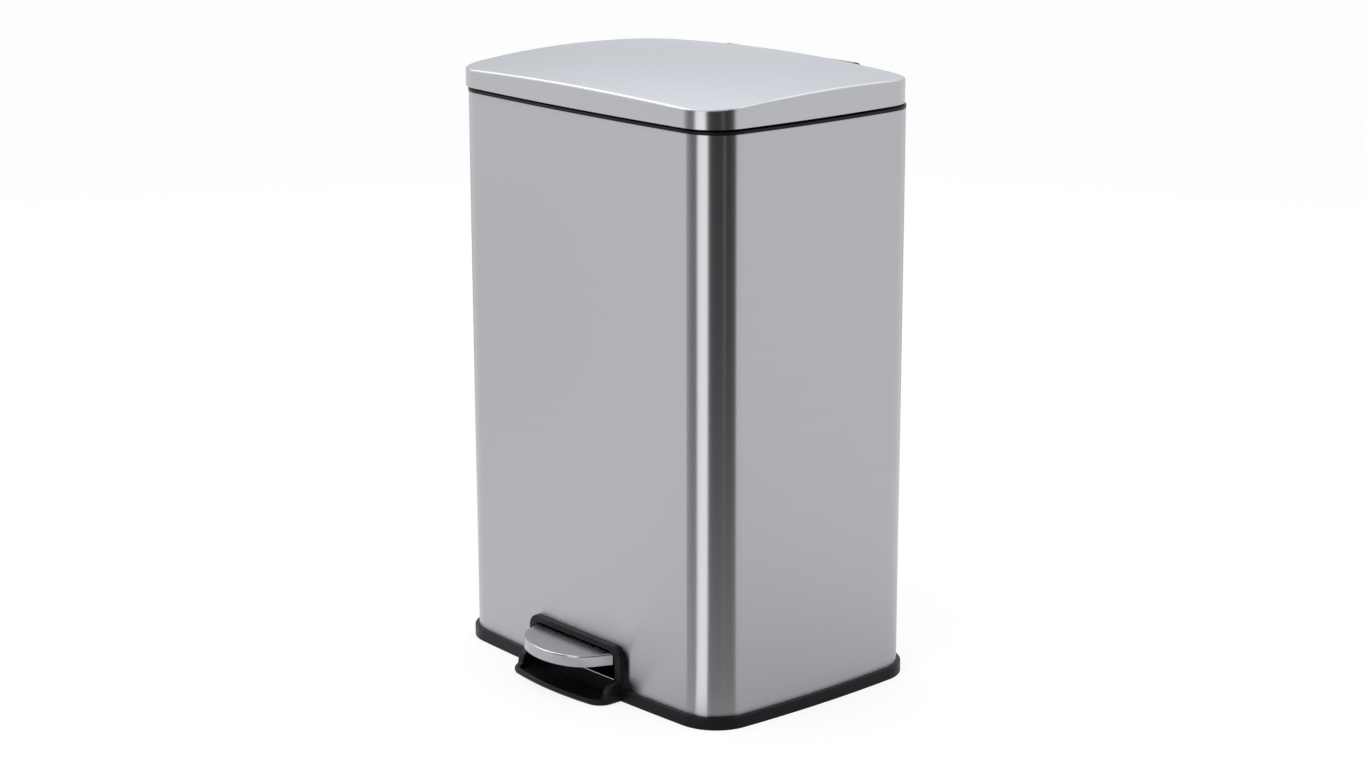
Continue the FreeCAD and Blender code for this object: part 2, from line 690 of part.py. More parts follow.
def make_bottom_plate():
    """Plate that closes the underside of the base, with round holes for the feet."""
    body = new_body("bottom_plate")
    thick = "foot_height - plate_level"
    pad(body, "XY", "plate_level", thick, add_plan, grow=f"-({INNER_FIT} + base_wall + fit_gap)")
    pocket(body, "XY", "plate_level", thick, add_circles, FEET, "foot_diameter/2 + fit_gap")
    pocket(body, "XY", "plate_level", thick, add_circles, PLATE_SCREWS, "screw_diameter/2 + run_gap")
    return body


def make_plate_screws():
    body = new_body("plate_screws")
    pad(body, "XY", "plate_level - plate_screw_head", "plate_screw_head", add_circles, PLATE_SCREWS,
        "screw_head/2")
    pad(body, "XY", "plate_level", "screw_length", add_circles, PLATE_SCREWS, "screw_diameter/2")
    return body


def make_bucket():
    """Tapered inner bucket with a rim flange and a finger notch in the brim at each end."""
    body = new_body("inner_bucket")
    inset = "(bucket_play + bucket_flange)"
    taper(body, "AdditiveLoft", BUCKET_LOW, f"-({inset} + bucket_draft)", f"-{inset}")
    pad(body, "XY", f"{BUCKET_TOP} - flange_thick", "flange_thick", add_plan, grow="-bucket_play", **MOUTH)
    taper(body, "SubtractiveLoft", f"{BUCKET_LOW} + bucket_wall",
          f"-({inset} + bucket_draft + bucket_wall)", f"-({inset} + bucket_wall)")
    grip_low = f"{BUCKET_TOP} - grip_depth"
    pocket(body, "YZ", "0", "body_width", add_box, f"{OPEN_MIDDLE} - grip_half",
           f"{OPEN_MIDDLE} + grip_half", grip_low, f"{BUCKET_TOP} + cut_past", both=True)
    round_edges(body, "grip_corner", lambda edge: at_height(edge, grip_low)
                and edge.BoundBox.YLength < TOUCH)
    return body


def taper(body, kind, level, foot_grow, brim_grow):
    """Loft between the bucket's plan at its foot and at its brim."""
    foot = sketch_on(body, "XY", level)
    add_plan(foot, grow=foot_grow, **MOUTH)
    brim = sketch_on(body, "XY", BUCKET_TOP)
    add_plan(brim, grow=brim_grow, **MOUTH)
    loft = body.newObject(f"PartDesign::{kind}", f"{body.Label}_{kind}")
    loft.Profile = foot
    loft.Sections = [brim]
    loft.Ruled = True
    doc.recompute()


def dome_cut(body, drop):
    """Cut everything above a surface that is bowed both across and along the lid."""
    sketch = sketch_on(body, "YZ")
    radius = f"(dome_along - {drop})"
    edge = "(body_depth/2 + notch_depth)"
    top = f"{LID_PEAK} + lid_rise"
    center = f"{LID_PEAK} - dome_along"
    behind = f"{center} + sqrt({radius}^2 - ({edge} - ridge_back)^2)"
    ahead = f"{center} + sqrt({radius}^2 - ({edge} + ridge_back)^2)"
    add_outline(sketch, [(edge, behind), (edge, top), (f"-{edge}", top), (f"-{edge}", ahead)],
                {3: f"-{radius}"})
    reach = FreeCAD.Vector(num("body_depth"), 0, 0)
    axle = sketch.addGeometry(Part.LineSegment(-reach, reach), True)
    for end, y in ((1, "-body_depth"), (2, "body_depth")):
        hold(sketch, "DistanceX", -1, 1, axle, end, text=y)
        hold(sketch, "DistanceY", -1, 1, axle, end, text=f"{LID_PEAK} - dome_across")
    groove = body.newObject("PartDesign::Groove", f"{body.Label}_dome")
    groove.Profile = sketch
    groove.ReferenceAxis = (sketch, ["Axis0"])
    groove.Midplane = True
    bind(groove, "Angle", "2*atan(body_width/dome_across)")
    before = body.Shape.Volume
    doc.recompute()
    if not body.Shape.Volume < before:
        raise RuntimeError("the dome cuts nothing")


def make_lid_form(label, inset, kind, radius):
    """Solid lid form: the lid's plan cut by the dome, with an eased top edge."""
    body = new_body(label)
    low = LID_LOW if inset == "0" else f"({LID_LOW} - lid_round)"
    pad(body, "XY", low, f"{LID_PEAK} - {low} + cut_past", add_plan, grow=f"lid_grow - {inset}",
        middle="-lid_shift")
    dome_cut(body, inset)
    ease_edges(body, kind, radius, lambda edge: edge.BoundBox.ZMin > num(LINER_LOW) and not upright(edge))
    return body


def make_lid_skin():
    """Domed steel lid with a deep skirt, cut away at the back for the hinge barrel."""
    outside = make_lid_form("lid_outside", "0", "Fillet", "lid_round")
    inside = make_lid_form("lid_inside", "lid_wall", "Chamfer", "lid_bevel")
    notch = doc.addObject("Part::Box", "lid_notch")
    bind(notch, "Length", "2*notch_half")
    bind(notch, "Width", "notch_depth")
    bind(notch, "Height", "notch_rise + cut_past")
    bind(notch, "Placement.Base.x", "-notch_half")
    bind(notch, "Placement.Base.y", NOTCH_FRONT)
    bind(notch, "Placement.Base.z", f"{LID_LOW} - cut_past")
    hollow = doc.addObject("Part::Cut", "lid_hollow")
    hollow.Base = outside
    hollow.Tool = inside
    skin = doc.addObject("Part::Cut", "lid_skin")
    skin.Base = hollow
    skin.Tool = notch
    doc.recompute()
    return skin


def make_liner():
    """Plastic pan that closes the underside of the lid and carries the hinge arms and the crank."""
    body = new_body("lid_liner")
    edge = "lid_grow - lid_wall - fit_gap"
    pad(body, "XY", LINER_LOW, "liner_height", add_plan, grow=edge, middle="-lid_shift")
    pocket(body, "XY", LINER_TOP, "liner_height", add_plan, grow=f"{edge} - liner_wall", middle="-lid_shift")
    panel = {"half_width": "body_width/2 - panel_margin",
             "half_depth": "body_depth/2 - panel_margin - ledge_rear/2",
             "middle": "-ledge_rear/2", "corner": "corner_radius - panel_margin/2"}
    pocket(body, "XY", LINER_LOW, "panel_sink", add_plan, **panel)
    below, through = f"{LINER_LOW} - cut_past", "liner_height + 2*cut_past"
    pocket(body, "XY", below, through, add_box, "-notch_half", "notch_half", NOTCH_FRONT,
           f"{NOTCH_FRONT} + notch_depth")
    pocket(body, "XY", below, through, add_box, "-crank_notch_half", "crank_notch_half", CRANK_NOTCH,
           f"{NOTCH_FRONT} + cut_past")
    pocket(body, "XY", below, through, add_circles, LID_SCREWS, "screw_diameter/2 + run_gap")
    return body


def make_lid_arms():
    """Pair of hinge arms screwed into the liner, each with an eye on its hinge pin."""
    body = new_body("hinge_arms")
    foot_back = f"({NOTCH_FRONT} - fit_gap)"
    foot_front = f"({NOTCH_FRONT} - arm_foot)"
    profile = [(foot_front, LINER_TOP), (foot_back, LINER_TOP),
               (f"{HINGE_Y} - arm_eye*cos(arm_under)", f"{HINGE_Z} - arm_eye*sin(arm_under)"),
               (HINGE_Y, HINGE_Z),
               (f"{HINGE_Y} - arm_eye*cos(arm_over)", f"{HINGE_Z} + arm_eye*sin(arm_over)"),
               (f"{foot_front} + arm_heel", f"{HINGE_Z} + arm_eye/2"),
               (foot_front, f"{LINER_TOP} + arm_front_height")]
    for level in (ARM_INNER, f"-({ARM_INNER} + arm_width)"):
        pad(body, "YZ", level, "arm_width", add_outline, profile)
        pad(body, "YZ", level, "arm_width", add_circle, HINGE_Y, HINGE_Z, "arm_eye")
    pocket(body, "YZ", "0", f"4*{ARM_INNER}", add_circle, HINGE_Y, HINGE_Z, "pin_diameter/2 + run_gap",
           both=True)
    pocket(body, "XY", LINER_TOP, "lid_screw_length", add_circles, LID_SCREWS[:4],
           "screw_diameter/2 + run_gap")
    return body


def make_lid_screws():
    body = new_body("lid_screws")
    pad(body, "XY", f"{LINER_LOW} - screw_head_height/2", "screw_head_height/2", add_circles, LID_SCREWS,
        "screw_head/2")
    pad(body, "XY", LINER_LOW, "liner_plate + lid_screw_length - fit_gap", add_circles, LID_SCREWS[:4],
        "screw_diameter/2")
    pad(body, "XY", LINER_LOW, "liner_plate + crank_plate", add_circles, LID_SCREWS[4:], "screw_diameter/2")
    return body


def make_crank():
    """Steel fork screwed on the liner; its two cheeks hold the pin that the push rod lifts."""
    body = new_body("lid_crank")
    front = f"({CRANK_NOTCH} - crank_foot)"
    pad(body, "XY", LINER_TOP, "crank_plate", add_box, "-crank_half", "crank_half", front, CRANK_NOTCH)
    cheek = [(front, LINER_TOP), (f"{CRANK_NOTCH} + crank_clear/2", LINER_TOP),
             (f"{CRANK_Y} - crank_eye*cos(crank_under)", f"{CRANK_Z} - crank_eye*sin(crank_under)"),
             (CRANK_Y, CRANK_Z),
             (f"{CRANK_Y} + crank_eye*cos(crank_over)", f"{CRANK_Z} + crank_eye*sin(crank_over)"),
             (f"{CRANK_NOTCH} - crank_clear/2", f"{LINER_TOP} + crank_heel"),
             (front, f"{LINER_TOP} + crank_toe")]
    inner = "(rod_thick/2 + side_gap)"
    for level in (inner, f"-({inner} + crank_plate)"):
        pad(body, "YZ", level, "crank_plate", add_outline, cheek)
        pad(body, "YZ", level, "crank_plate", add_circle, CRANK_Y, CRANK_Z, "crank_eye")
    pocket(body, "YZ", "0", "2*crank_half", add_circle, CRANK_Y, CRANK_Z, "pin_diameter/2 + run_gap",
           both=True)
    pocket(body, "XY", LINER_TOP, "crank_plate + cut_past", add_circles, LID_SCREWS[4:],
           "screw_diameter/2 + run_gap")
    return body


def make_crank_pin():
    body = new_body("crank_pin")
    outer = "(rod_thick/2 + side_gap + crank_plate + run_gap)"
    pad(body, "YZ", "0", f"2*{outer}", add_circle, CRANK_Y, CRANK_Z, "pin_diameter/2", both=True)
    both_ways(body, outer, "rivet_rise", add_circle, CRANK_Y, CRANK_Z, "rivet_head/2")
    return body


def make_bumpers():
    body = new_body("lid_bumpers")
    x = "(body_width/2 - bumper_across)"
    y = f"(body_depth/2 - bumper_inset - front_bow + sqrt(front_bow^2 - {x}^2))"
    places = both_sides(x, f"-{y}") + both_sides(x, f"{y} - lid_shift")
    pad(body, "XY", f"{RIM_TOP} + fit_gap", f"{LINER_LOW} - {RIM_TOP} - fit_gap", add_circles, places,
        "bumper_diameter/2")
    return body


def make_rod():
    """Flat steel push rod: an eye at the lever, a wide head with a cross slot for the crank pin."""
    body = new_body("push_rod")
    half = "rod_width/2"
    low, high = f"({CRANK_Z} - rod_head_rise)", f"({CRANK_Z} + rod_head_rise)"
    strip = [(f"{ROD_Y} - {half}", ROD_Z), (f"{ROD_Y} + {half}", ROD_Z),
             (f"{ROD_Y} + {half}", f"{low} - rod_shoulder"), (f"{ROD_Y} + rod_head_half", low),
             (f"{ROD_Y} + rod_head_half", high), (f"{ROD_Y} - rod_head_half", high),
             (f"{ROD_Y} - rod_head_half", low), (f"{ROD_Y} - {half}", f"{low} - rod_shoulder")]
    pad(body, "YZ", "0", "rod_thick", add_outline, strip, both=True)
    pad(body, "YZ", "0", "rod_thick", add_circle, ROD_Y, ROD_Z, "rod_eye", both=True)
    reach = "(crank_radius*(1 - cos(crank_start))/2 + pin_diameter/2 + slot_play)"
    rise = "(pin_diameter/2 + slot_play)"
    ends = [f"{ROD_Y} - {reach} + {rise}", f"{ROD_Y} + {reach} - {rise}"]
    pocket(body, "YZ", "0", "3*rod_thick", add_box, *ends, f"{CRANK_Z} - {rise}", f"{CRANK_Z} + {rise}",
           both=True)
    for end in ends:
        pocket(body, "YZ", "0", "3*rod_thick", add_circle, end, CRANK_Z, rise, both=True)
    pocket(body, "YZ", "0", "3*rod_thick", add_circle, ROD_Y, ROD_Z, "pin_diameter/2 + run_gap", both=True)
    return body


def make_guide():
    """Moulded clip on the inside of the back wall that keeps the push rod upright."""
    body = new_body("rod_guide")
    wall = "(body_depth/2 - shell_wall - front_bow + sqrt(front_bow^2 - guide_half^2))"
    reach = "(rod_width/2 + guide_play)"
    pad(body, "XY", "guide_level", "guide_height", add_box, "-guide_half", "guide_half",
        f"{ROD_Y} - {reach} - guide_wall", wall)
    pocket(body, "XY", "guide_level - cut_past", "guide_height + 2*cut_past", add_box,
           "-(rod_thick/2 + side_gap)", "rod_thick/2 + side_gap", f"{ROD_Y} - {reach}", f"{ROD_Y} + {reach}")
    return body


def make_lever():
    """Pressed steel channel: flat tongue under the pedal, two cheeks for the axle and the rod pin."""
    body = new_body("pedal_lever")
    tip = "-(body_depth/2 + lever_tip)"
    bend = "-(body_depth/2 - lever_bend)"
    over = f"(axle_level + {BUSH_RADIUS} + lever_web)"
    end = f"({ROD_Y} + rod_eye)"
    rear = f"({ROD_Z} + rod_eye)"
    web = [(tip, LEVER_LOW), (bend, LEVER_LOW), ("-axle_front", over), (end, rear),
           (end, f"{rear} + lever_web"), ("-axle_front", f"{over} + lever_web"), (bend, "lever_top"),
           (tip, "lever_top")]
    pad(body, "YZ", "0", "2*lever_half", add_outline, web, both=True)
    cheek = [(bend, LEVER_LOW), ("-(axle_front + cheek_run)", f"axle_level - {BUSH_RADIUS}"),
             ("-axle_front", "axle_level - cheek_depth"),
             (f"{ROD_Y} - rod_eye", f"{ROD_Z} - rod_eye + lever_web/2"),
             (end, f"{ROD_Z} - rod_eye + lever_web/2"), (end, f"{rear} + lever_web/2"),
             ("-axle_front", f"{over} + lever_web/2"), (bend, f"{LEVER_LOW} + lever_web/2")]
    for level in ("lever_half - lever_cheek", "-lever_half"):
        pad(body, "YZ", level, "lever_cheek", add_outline, cheek)
    pocket(body, "YZ", "0", "4*lever_half", add_circle, "-axle_front", "axle_level",
           f"{BUSH_RADIUS} + run_gap", both=True)
    pocket(body, "YZ", "0", "4*lever_half", add_circle, ROD_Y, ROD_Z, "pin_diameter/2 + run_gap", both=True)
    pocket(body, "XY", "0", "lever_top + cut_past", add_circles, PEDAL_RIVETS, "rivet_diameter/2 + run_gap")
    # Fork at the back end, open to the rear, that the rod stands in
    pocket(body, "XY", ROD_Z, "2*rod_eye + lever_web", add_box, "-(rod_thick/2 + 2*side_gap)",
           "rod_thick/2 + 2*side_gap", f"{ROD_Y} - rod_width/2 - fork_play", f"{end} + fork_play")
    return body


def pedal_outline(sketch, inset):
    """D-shaped pedal plan drawn in by an inset: straight back, slanting sides and a bowed front."""
    bow = f"({PEDAL_NOSE_HALF} + pedal_bow - {inset})"
    half = f"({PEDAL_NOSE_HALF} - {inset})"
    heel = "-(body_depth/2 + pedal_back)"
    nose = f"{PEDAL_FRONT} + {inset} + {bow} - sqrt({bow}^2 - {half}^2)"
    add_outline(sketch, [(f"-({PEDAL_HALF} - {inset})", heel), (f"-{half}", nose), (half, nose),
                         (f"{PEDAL_HALF} - {inset}", heel)], {1: bow})


def make_pedal_form(label, inset, low, high):
    """Solid pedal form between two levels, with round front corners."""
    body = new_body(label)
    pad(body, "XY", low, f"{high} - {low}", pedal_outline, inset)
    half = num(f"{PEDAL_NOSE_HALF} - {inset}")
    round_edges(body, f"pedal_corner - {inset}", lambda edge: upright(edge)
                and abs(abs(edge.BoundBox.XMin) - half) < TOUCH)
    return body


def make_pedal_cap():
    """Steel cap with a turned-down edge, open at the back where the tongue goes in."""
    outside = make_pedal_form("pedal_outside", "0", PEDAL_LOW, "pedal_top")
    round_edges(outside, "pedal_round", lambda edge: at_height(edge, "pedal_top")
                and edge.BoundBox.YMin < num("-(body_depth/2 + pedal_back)") - TOUCH)
    inside = make_pedal_form("pedal_inside", "pedal_wall", f"({PEDAL_LOW} - pedal_edge)",
                             "(pedal_top - pedal_wall)")
    cap = doc.addObject("Part::Cut", "pedal_cap")
    cap.Base = outside
    cap.Tool = inside
    doc.recompute()
    return cap


def make_pedal_core():
    """Moulded block that fills the cap and takes the lever's tongue in a slot."""
    body = make_pedal_form("pedal_core", "(pedal_wall + fit_gap)", CORE_LOW, CORE_TOP)
    pocket(body, "YZ", "0", "2*(lever_half + fit_gap)", add_box, "-(body_depth/2 + lever_tip + fit_gap)",
           "-(body_depth/2 - pedal_back)", f"{LEVER_LOW} - fit_gap", "lever_top + fit_gap", both=True)
    pocket(body, "XY", CORE_LOW, RIVET_LENGTH, add_circles, PEDAL_RIVETS, "rivet_diameter/2 + run_gap")
    return body


def make_pedal_rivets():
    body = new_body("pedal_rivets")
    pad(body, "XY", f"{CORE_LOW} - rivet_rise", "rivet_rise", add_circles, PEDAL_RIVETS, "rivet_head/2")
    pad(body, "XY", CORE_LOW, f"{RIVET_LENGTH} - fit_gap", add_circles, PEDAL_RIVETS, "rivet_diameter/2")
    return body


def make_axle():
    body = new_body("pedal_axle")
    pad(body, "YZ", "0", f"2*({CLIP_INNER} + clip_thick + axle_end)", add_circle, "-axle_front",
        "axle_level", "axle_diameter/2", both=True)
    return body


def add_ring(sketch, x, y, outer, inner):
    add_circle(sketch, x, y, outer)
    add_circle(sketch, x, y, inner)


def both_ways(body, start, length, draw, *args):
    """The same pad on the right and, mirrored, on the left."""
    pad(body, "YZ", start, length, draw, *args)
    pad(body, "YZ", f"-({start} + {length})", length, draw, *args)


def make_axle_clips():
    body = new_body("axle_clips")
    both_ways(body, CLIP_INNER, "clip_thick", add_ring, "-axle_front", "axle_level", "clip_diameter/2",
              "axle_diameter/2 + run_gap")
    return body


def make_bushes():
    """Flanged bushes in the lever's cheeks, running on the axle."""
    body = new_body("axle_bushes")
    bore = "axle_diameter/2 + run_gap"
    both_ways(body, "lever_half - 2*lever_cheek", "2*lever_cheek", add_ring, "-axle_front", "axle_level",
              BUSH_RADIUS, bore)
    both_ways(body, "lever_half", "bush_rim", add_ring, "-axle_front", "axle_level",
              f"{BUSH_RADIUS} + bush_flange", bore)
    return body


def make_rod_pin():
    body = new_body("rod_pin")
    outer = "(lever_half + run_gap)"
    pad(body, "YZ", "0", f"2*{outer}", add_circle, ROD_Y, ROD_Z, "pin_diameter/2", both=True)
    both_ways(body, outer, "rivet_rise", add_circle, ROD_Y, ROD_Z, "rivet_head/2")
    return body


def make_spacers():
    """Two sleeves on the rod pin that keep the rod in the middle of the lever."""
    body = new_body("rod_spacers")
    inner = "(rod_thick/2 + side_gap)"
    both_ways(body, inner, f"lever_half - lever_cheek - fit_gap - {inner}", add_ring, ROD_Y, ROD_Z,
              "pin_diameter/2 + run_gap + spacer_wall", "pin_diameter/2 + run_gap")
    return body


MAKERS = (make_base, make_shell, make_rim, make_hinge_housing, make_hinge_screws, make_hinge_pins,
          make_feet, make_bottom_plate, make_plate_screws, make_bucket, make_lid_skin, make_liner,
          make_lid_arms, make_lid_screws, make_crank, make_crank_pin, make_bumpers, make_rod, make_guide,
          make_lever, make_pedal_cap, make_pedal_core, make_pedal_rivets, make_axle, make_axle_clips,
          make_bushes, make_rod_pin, make_spacers)
parts = [make() for make in MAKERS]
doc.recompute()

for item in doc.Objects:
    if "Invalid" in item.State or "Error" in item.State:
        raise RuntimeError(f"{item.Label} failed: {item.State}")
for part in parts:
    if part.Shape.isNull() or not part.Shape.isValid():
        raise RuntimeError(f"{part.Label} has no valid shape")

os.makedirs("parts", exist_ok=True)
for part in parts:
    part.Shape.exportStep(f"parts/{part.Label}.step")
    print(part.Label, len(part.Shape.Solids), round(part.Shape.Volume))
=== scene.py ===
# %% [markdown]
# # A steel pedal bin
#
# The bin is a bowed wrapper of brushed steel with a domed lid, a black moulded base, a pedal and a bucket
# inside. Its solids come ready made, in metres, standing on the floor with the pedal towards -Y. They
# could be modelled again here, but then they might no longer fit their joints. So this lesson leaves the
# solids alone and dresses them: finishes, screws and a rolled hem, then a plain studio and the camera.

# %% Load the parts
import json
import math

import bpy
from mathutils import Matrix, Vector


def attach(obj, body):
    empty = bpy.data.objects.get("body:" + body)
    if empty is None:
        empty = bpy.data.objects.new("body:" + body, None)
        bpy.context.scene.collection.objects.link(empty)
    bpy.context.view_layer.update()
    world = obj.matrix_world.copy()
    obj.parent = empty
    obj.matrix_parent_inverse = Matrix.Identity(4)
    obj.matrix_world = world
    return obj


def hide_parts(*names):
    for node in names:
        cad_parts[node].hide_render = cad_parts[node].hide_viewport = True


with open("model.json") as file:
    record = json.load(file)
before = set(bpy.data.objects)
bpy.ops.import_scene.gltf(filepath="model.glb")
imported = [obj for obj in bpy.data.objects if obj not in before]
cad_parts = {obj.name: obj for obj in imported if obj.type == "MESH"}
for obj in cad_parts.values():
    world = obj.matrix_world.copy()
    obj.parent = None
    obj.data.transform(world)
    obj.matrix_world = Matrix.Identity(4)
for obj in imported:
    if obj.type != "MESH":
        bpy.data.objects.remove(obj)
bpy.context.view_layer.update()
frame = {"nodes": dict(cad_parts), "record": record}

# %% [markdown]
# ## Helpers for node trees
#
# A finish in Blender is a tree of nodes that leads from a pattern to a surface. Such a tree can be drawn
# by hand in the editor, but a script can be read and run again. These helpers add a node, set its values
# and join its sockets, so that each finish below takes only a few lines.


# %% Nodes and sockets
def plug_in(tree, socket, value):
    """Join a socket to another node's output, or set a plain value on it."""
    if isinstance(value, bpy.types.NodeSocket):
        tree.links.new(value, socket)
    else:
        socket.default_value = value


def node_adder(tree):
    """Function that adds a node to the tree, with its settings and its inputs."""
    def add(kind, inputs=None, **settings):
        node = tree.nodes.new(kind)
        for key, value in settings.items():
            setattr(node, key, value)
        for name, value in (inputs or {}).items():
            plug_in(tree, node.inputs[name], value)
        return node

    return add


print("node helpers ready")

# %% [markdown]
# A new material in Blender has one Principled shader, which can stand for metal, plastic or rubber. A
# finish could be put together from simpler shaders, but this one is also understood by other programs. So
# each finish starts from it and fills only the inputs that matter.


# %% Start of a finish
def feed(shader, **sources):
    """Fill a shader's inputs; a space in an input's name is written as an underscore."""
    for name, source in sources.items():
        plug_in(shader.id_data, shader.inputs[name.replace("_", " ")], source)


def start_material(name):
    """New node material, its Principled shader, and the function that adds nodes to it."""
    material = bpy.data.materials.new(name)
    material.use_nodes = True
    tree = material.node_tree
    return material, tree.nodes["Principled BSDF"], node_adder(tree)


print("finishes start from a Principled shader")

# %% [markdown]
# No real finish is one flat colour: metal, plastic and zinc all vary a little from place to place. A
# painted picture could show that, but it would need a UV map and would blur close up. So the next helpers
# make patterns from noise in Object coordinates, which are metres here, and spread them over a span.


# %% Patterns
def object_place(add):
    return add("ShaderNodeTexCoord").outputs["Object"]


def noise(add, place, scale, detail, rough=0.5):
    """Cloudy pattern of 0 to 1."""
    return add("ShaderNodeTexNoise", {"Vector": place, "Scale": scale, "Detail": detail,
                                      "Roughness": rough}).outputs["Fac"]


def between(add, value, low, high):
    """Spread a value of 0 to 1 over a new span."""
    return add("ShaderNodeMapRange", {"Value": value, "To Min": low, "To Max": high}).outputs["Result"]


def ease(add, value, start, end, low=0.0, high=1.0):
    """Smooth change from low to high while the value goes from start to end."""
    return add("ShaderNodeMapRange", {"Value": value, "From Min": start, "From Max": end, "To Min": low,
                                      "To Max": high}, interpolation_type="SMOOTHSTEP").outputs["Result"]


print("pattern helpers ready")

# %% [markdown]
# A pattern then chooses between two colours or two directions, or is added to another one. A colour ramp
# could choose too, but it holds only colours, and a Mix node takes both kinds. It has a set of sockets
# for each kind under the same names, so they are counted here: first, second and result.

# %% Mixes
WHITE = (1.0, 1.0, 1.0)
MIX_SOCKETS = {"RGBA": (6, 7, 2), "VECTOR": (4, 5, 1)}


def grey(tone, tint=WHITE):
    """Colour of a tone, slightly tinted."""
    return (tone * tint[0], tone * tint[1], tone * tint[2], 1.0)


def blend(add, kind, factor, first, second):
    """Mix two colours (RGBA) or two vectors (VECTOR)."""
    first_in, second_in, result = MIX_SOCKETS[kind]
    return add("ShaderNodeMix", {0: factor, first_in: first, second_in: second},
               data_type=kind).outputs[result]


def calculate(add, operation, *values):
    """Result of one Math node."""
    return add("ShaderNodeMath", dict(enumerate(values)), operation=operation).outputs[0]


print("mix helpers ready for", ", ".join(MIX_SOCKETS))

# %% [markdown]
# ## Brushed steel
#
# The wrapper, the lid and the pedal's cap are stainless sheet that was brushed level. The scratches are
# long and very fine, so their pattern is a noise that is stretched along them. On a wall it is long in X
# and Y and fine in Z, and on a face that looks up it is long in X and fine in Y. Two materials could do
# this, with a seam where they meet. One material with a mask from the face's own normal has no seam on a
# round edge.

# %% Along the scratches
SCRATCH_LONG = 5.0
SCRATCH_FINE = 3000.0
WALL_NORMAL = 0.55
TOP_NORMAL = 0.85


def stretched(add, place, factors):
    """Coordinates times one factor for each axis."""
    return add("ShaderNodeVectorMath", {0: place, 1: factors}, operation="MULTIPLY").outputs[0]


def along_scratches(add, place):
    """Mask of the faces that look up, and coordinates that are stretched along the scratches."""
    normal = add("ShaderNodeNewGeometry").outputs["Normal"]
    upward = add("ShaderNodeSeparateXYZ", {"Vector": normal}).outputs["Z"]
    looks_up = ease(add, calculate(add, "ABSOLUTE", upward), WALL_NORMAL, TOP_NORMAL)
    wall = stretched(add, place, (SCRATCH_LONG, SCRATCH_LONG, SCRATCH_FINE))
    top = stretched(add, place, (SCRATCH_LONG, SCRATCH_FINE, SCRATCH_LONG))
    return looks_up, blend(add, "VECTOR", looks_up, wall, top)


print("scratches per metre:", SCRATCH_LONG, "along,", SCRATCH_FINE, "across")

# %% [markdown]
# A brushed face smears its reflections across the scratches. So the shader has a high Anisotropic value,
# and the same mask turns its tangent. The scratches vary the roughness, and wider streaks vary the tone.
# They could be cut as bump as well, but they are finer than a pixel, and bump then only adds specks. Each
# steel keeps all its roughness on one side of 0.27. Below that the denoiser takes a face for a mirror,
# and a pattern that crosses the value comes out in blotches.

# %% Steel finishes
STEEL_TINT = (0.985, 0.992, 1.04)
STREAK_LONG = 0.6
STREAK_FINE = 180.0
STREAK_SHARE = STREAK_FINE / SCRATCH_FINE
STREAK_DEPTH = 0.015
CLOUD_SCALE = 7.0
ROUGH_DEPTH = 0.01
UP_A_WALL = (0.0, 0.0, 1.0)
ACROSS_A_TOP = (0.0, 1.0, 0.0)


def brushed_steel(name, tone=0.44, rough=0.30, stretch=0.95):
    """Metal with level scratches, faint streaks and a slow drift of its roughness."""
    material, shader, add = start_material(name)
    place = object_place(add)
    looks_up, along = along_scratches(add, place)
    scratch = noise(add, along, scale=1.0, detail=3.0, rough=0.6)
    streak_place = stretched(add, along, (STREAK_LONG, STREAK_SHARE, STREAK_SHARE))
    streak = noise(add, streak_place, scale=1.0, detail=2.0)
    cloud = noise(add, place, scale=CLOUD_SCALE, detail=2.0)
    colour = blend(add, "RGBA", streak, grey(tone * (1.0 - STREAK_DEPTH), STEEL_TINT),
                   grey(tone * (1.0 + STREAK_DEPTH), STEEL_TINT))
    roughness = calculate(add, "ADD", between(add, scratch, rough - ROUGH_DEPTH, rough + ROUGH_DEPTH),
                          between(add, cloud, -ROUGH_DEPTH, ROUGH_DEPTH))
    tangent = blend(add, "VECTOR", looks_up, UP_A_WALL, ACROSS_A_TOP)
    feed(shader, Base_Color=colour, Metallic=1.0, Roughness=roughness, Anisotropic=stretch, Tangent=tangent)
    return material


STEEL = brushed_steel("brushed_sheet")
LID_STEEL = brushed_steel("brushed_lid", tone=0.465, rough=0.31, stretch=0.85)
CAP_STEEL = brushed_steel("brushed_pedal", tone=0.435, rough=0.19, stretch=0.90)
print("steel finishes:", STEEL.name, LID_STEEL.name, CAP_STEEL.name)

# %% [markdown]
# ## Moulded plastic and rubber
#
# The base, the rim, the hinge and the bucket are plastic from moulds with spark-eroded walls, which leave
# a fine satin grain. Modelling the pits would take millions of faces, so a fine noise only tilts the
# shading, through a Bump node. A slow noise lets tone and gloss drift a little, as on a real moulding.
# The black is slightly cool in its gloss too, and that tint is the same all over, so it sits on the
# shader's own socket. The rubber feet and bumpers take the same recipe, with a coarser grain and a dull
# face.

# %% Plastic and rubber finishes
COOL_BLACK = (0.93, 0.95, 1.10)
COOL_SHINE = (0.84, 0.85, 1.0, 1.0)
PIT_DEPTH = 0.0003
DRIFT_SCALE = 18.0
TONE_DRIFT = 0.15
GLOSS_DRIFT = 0.06


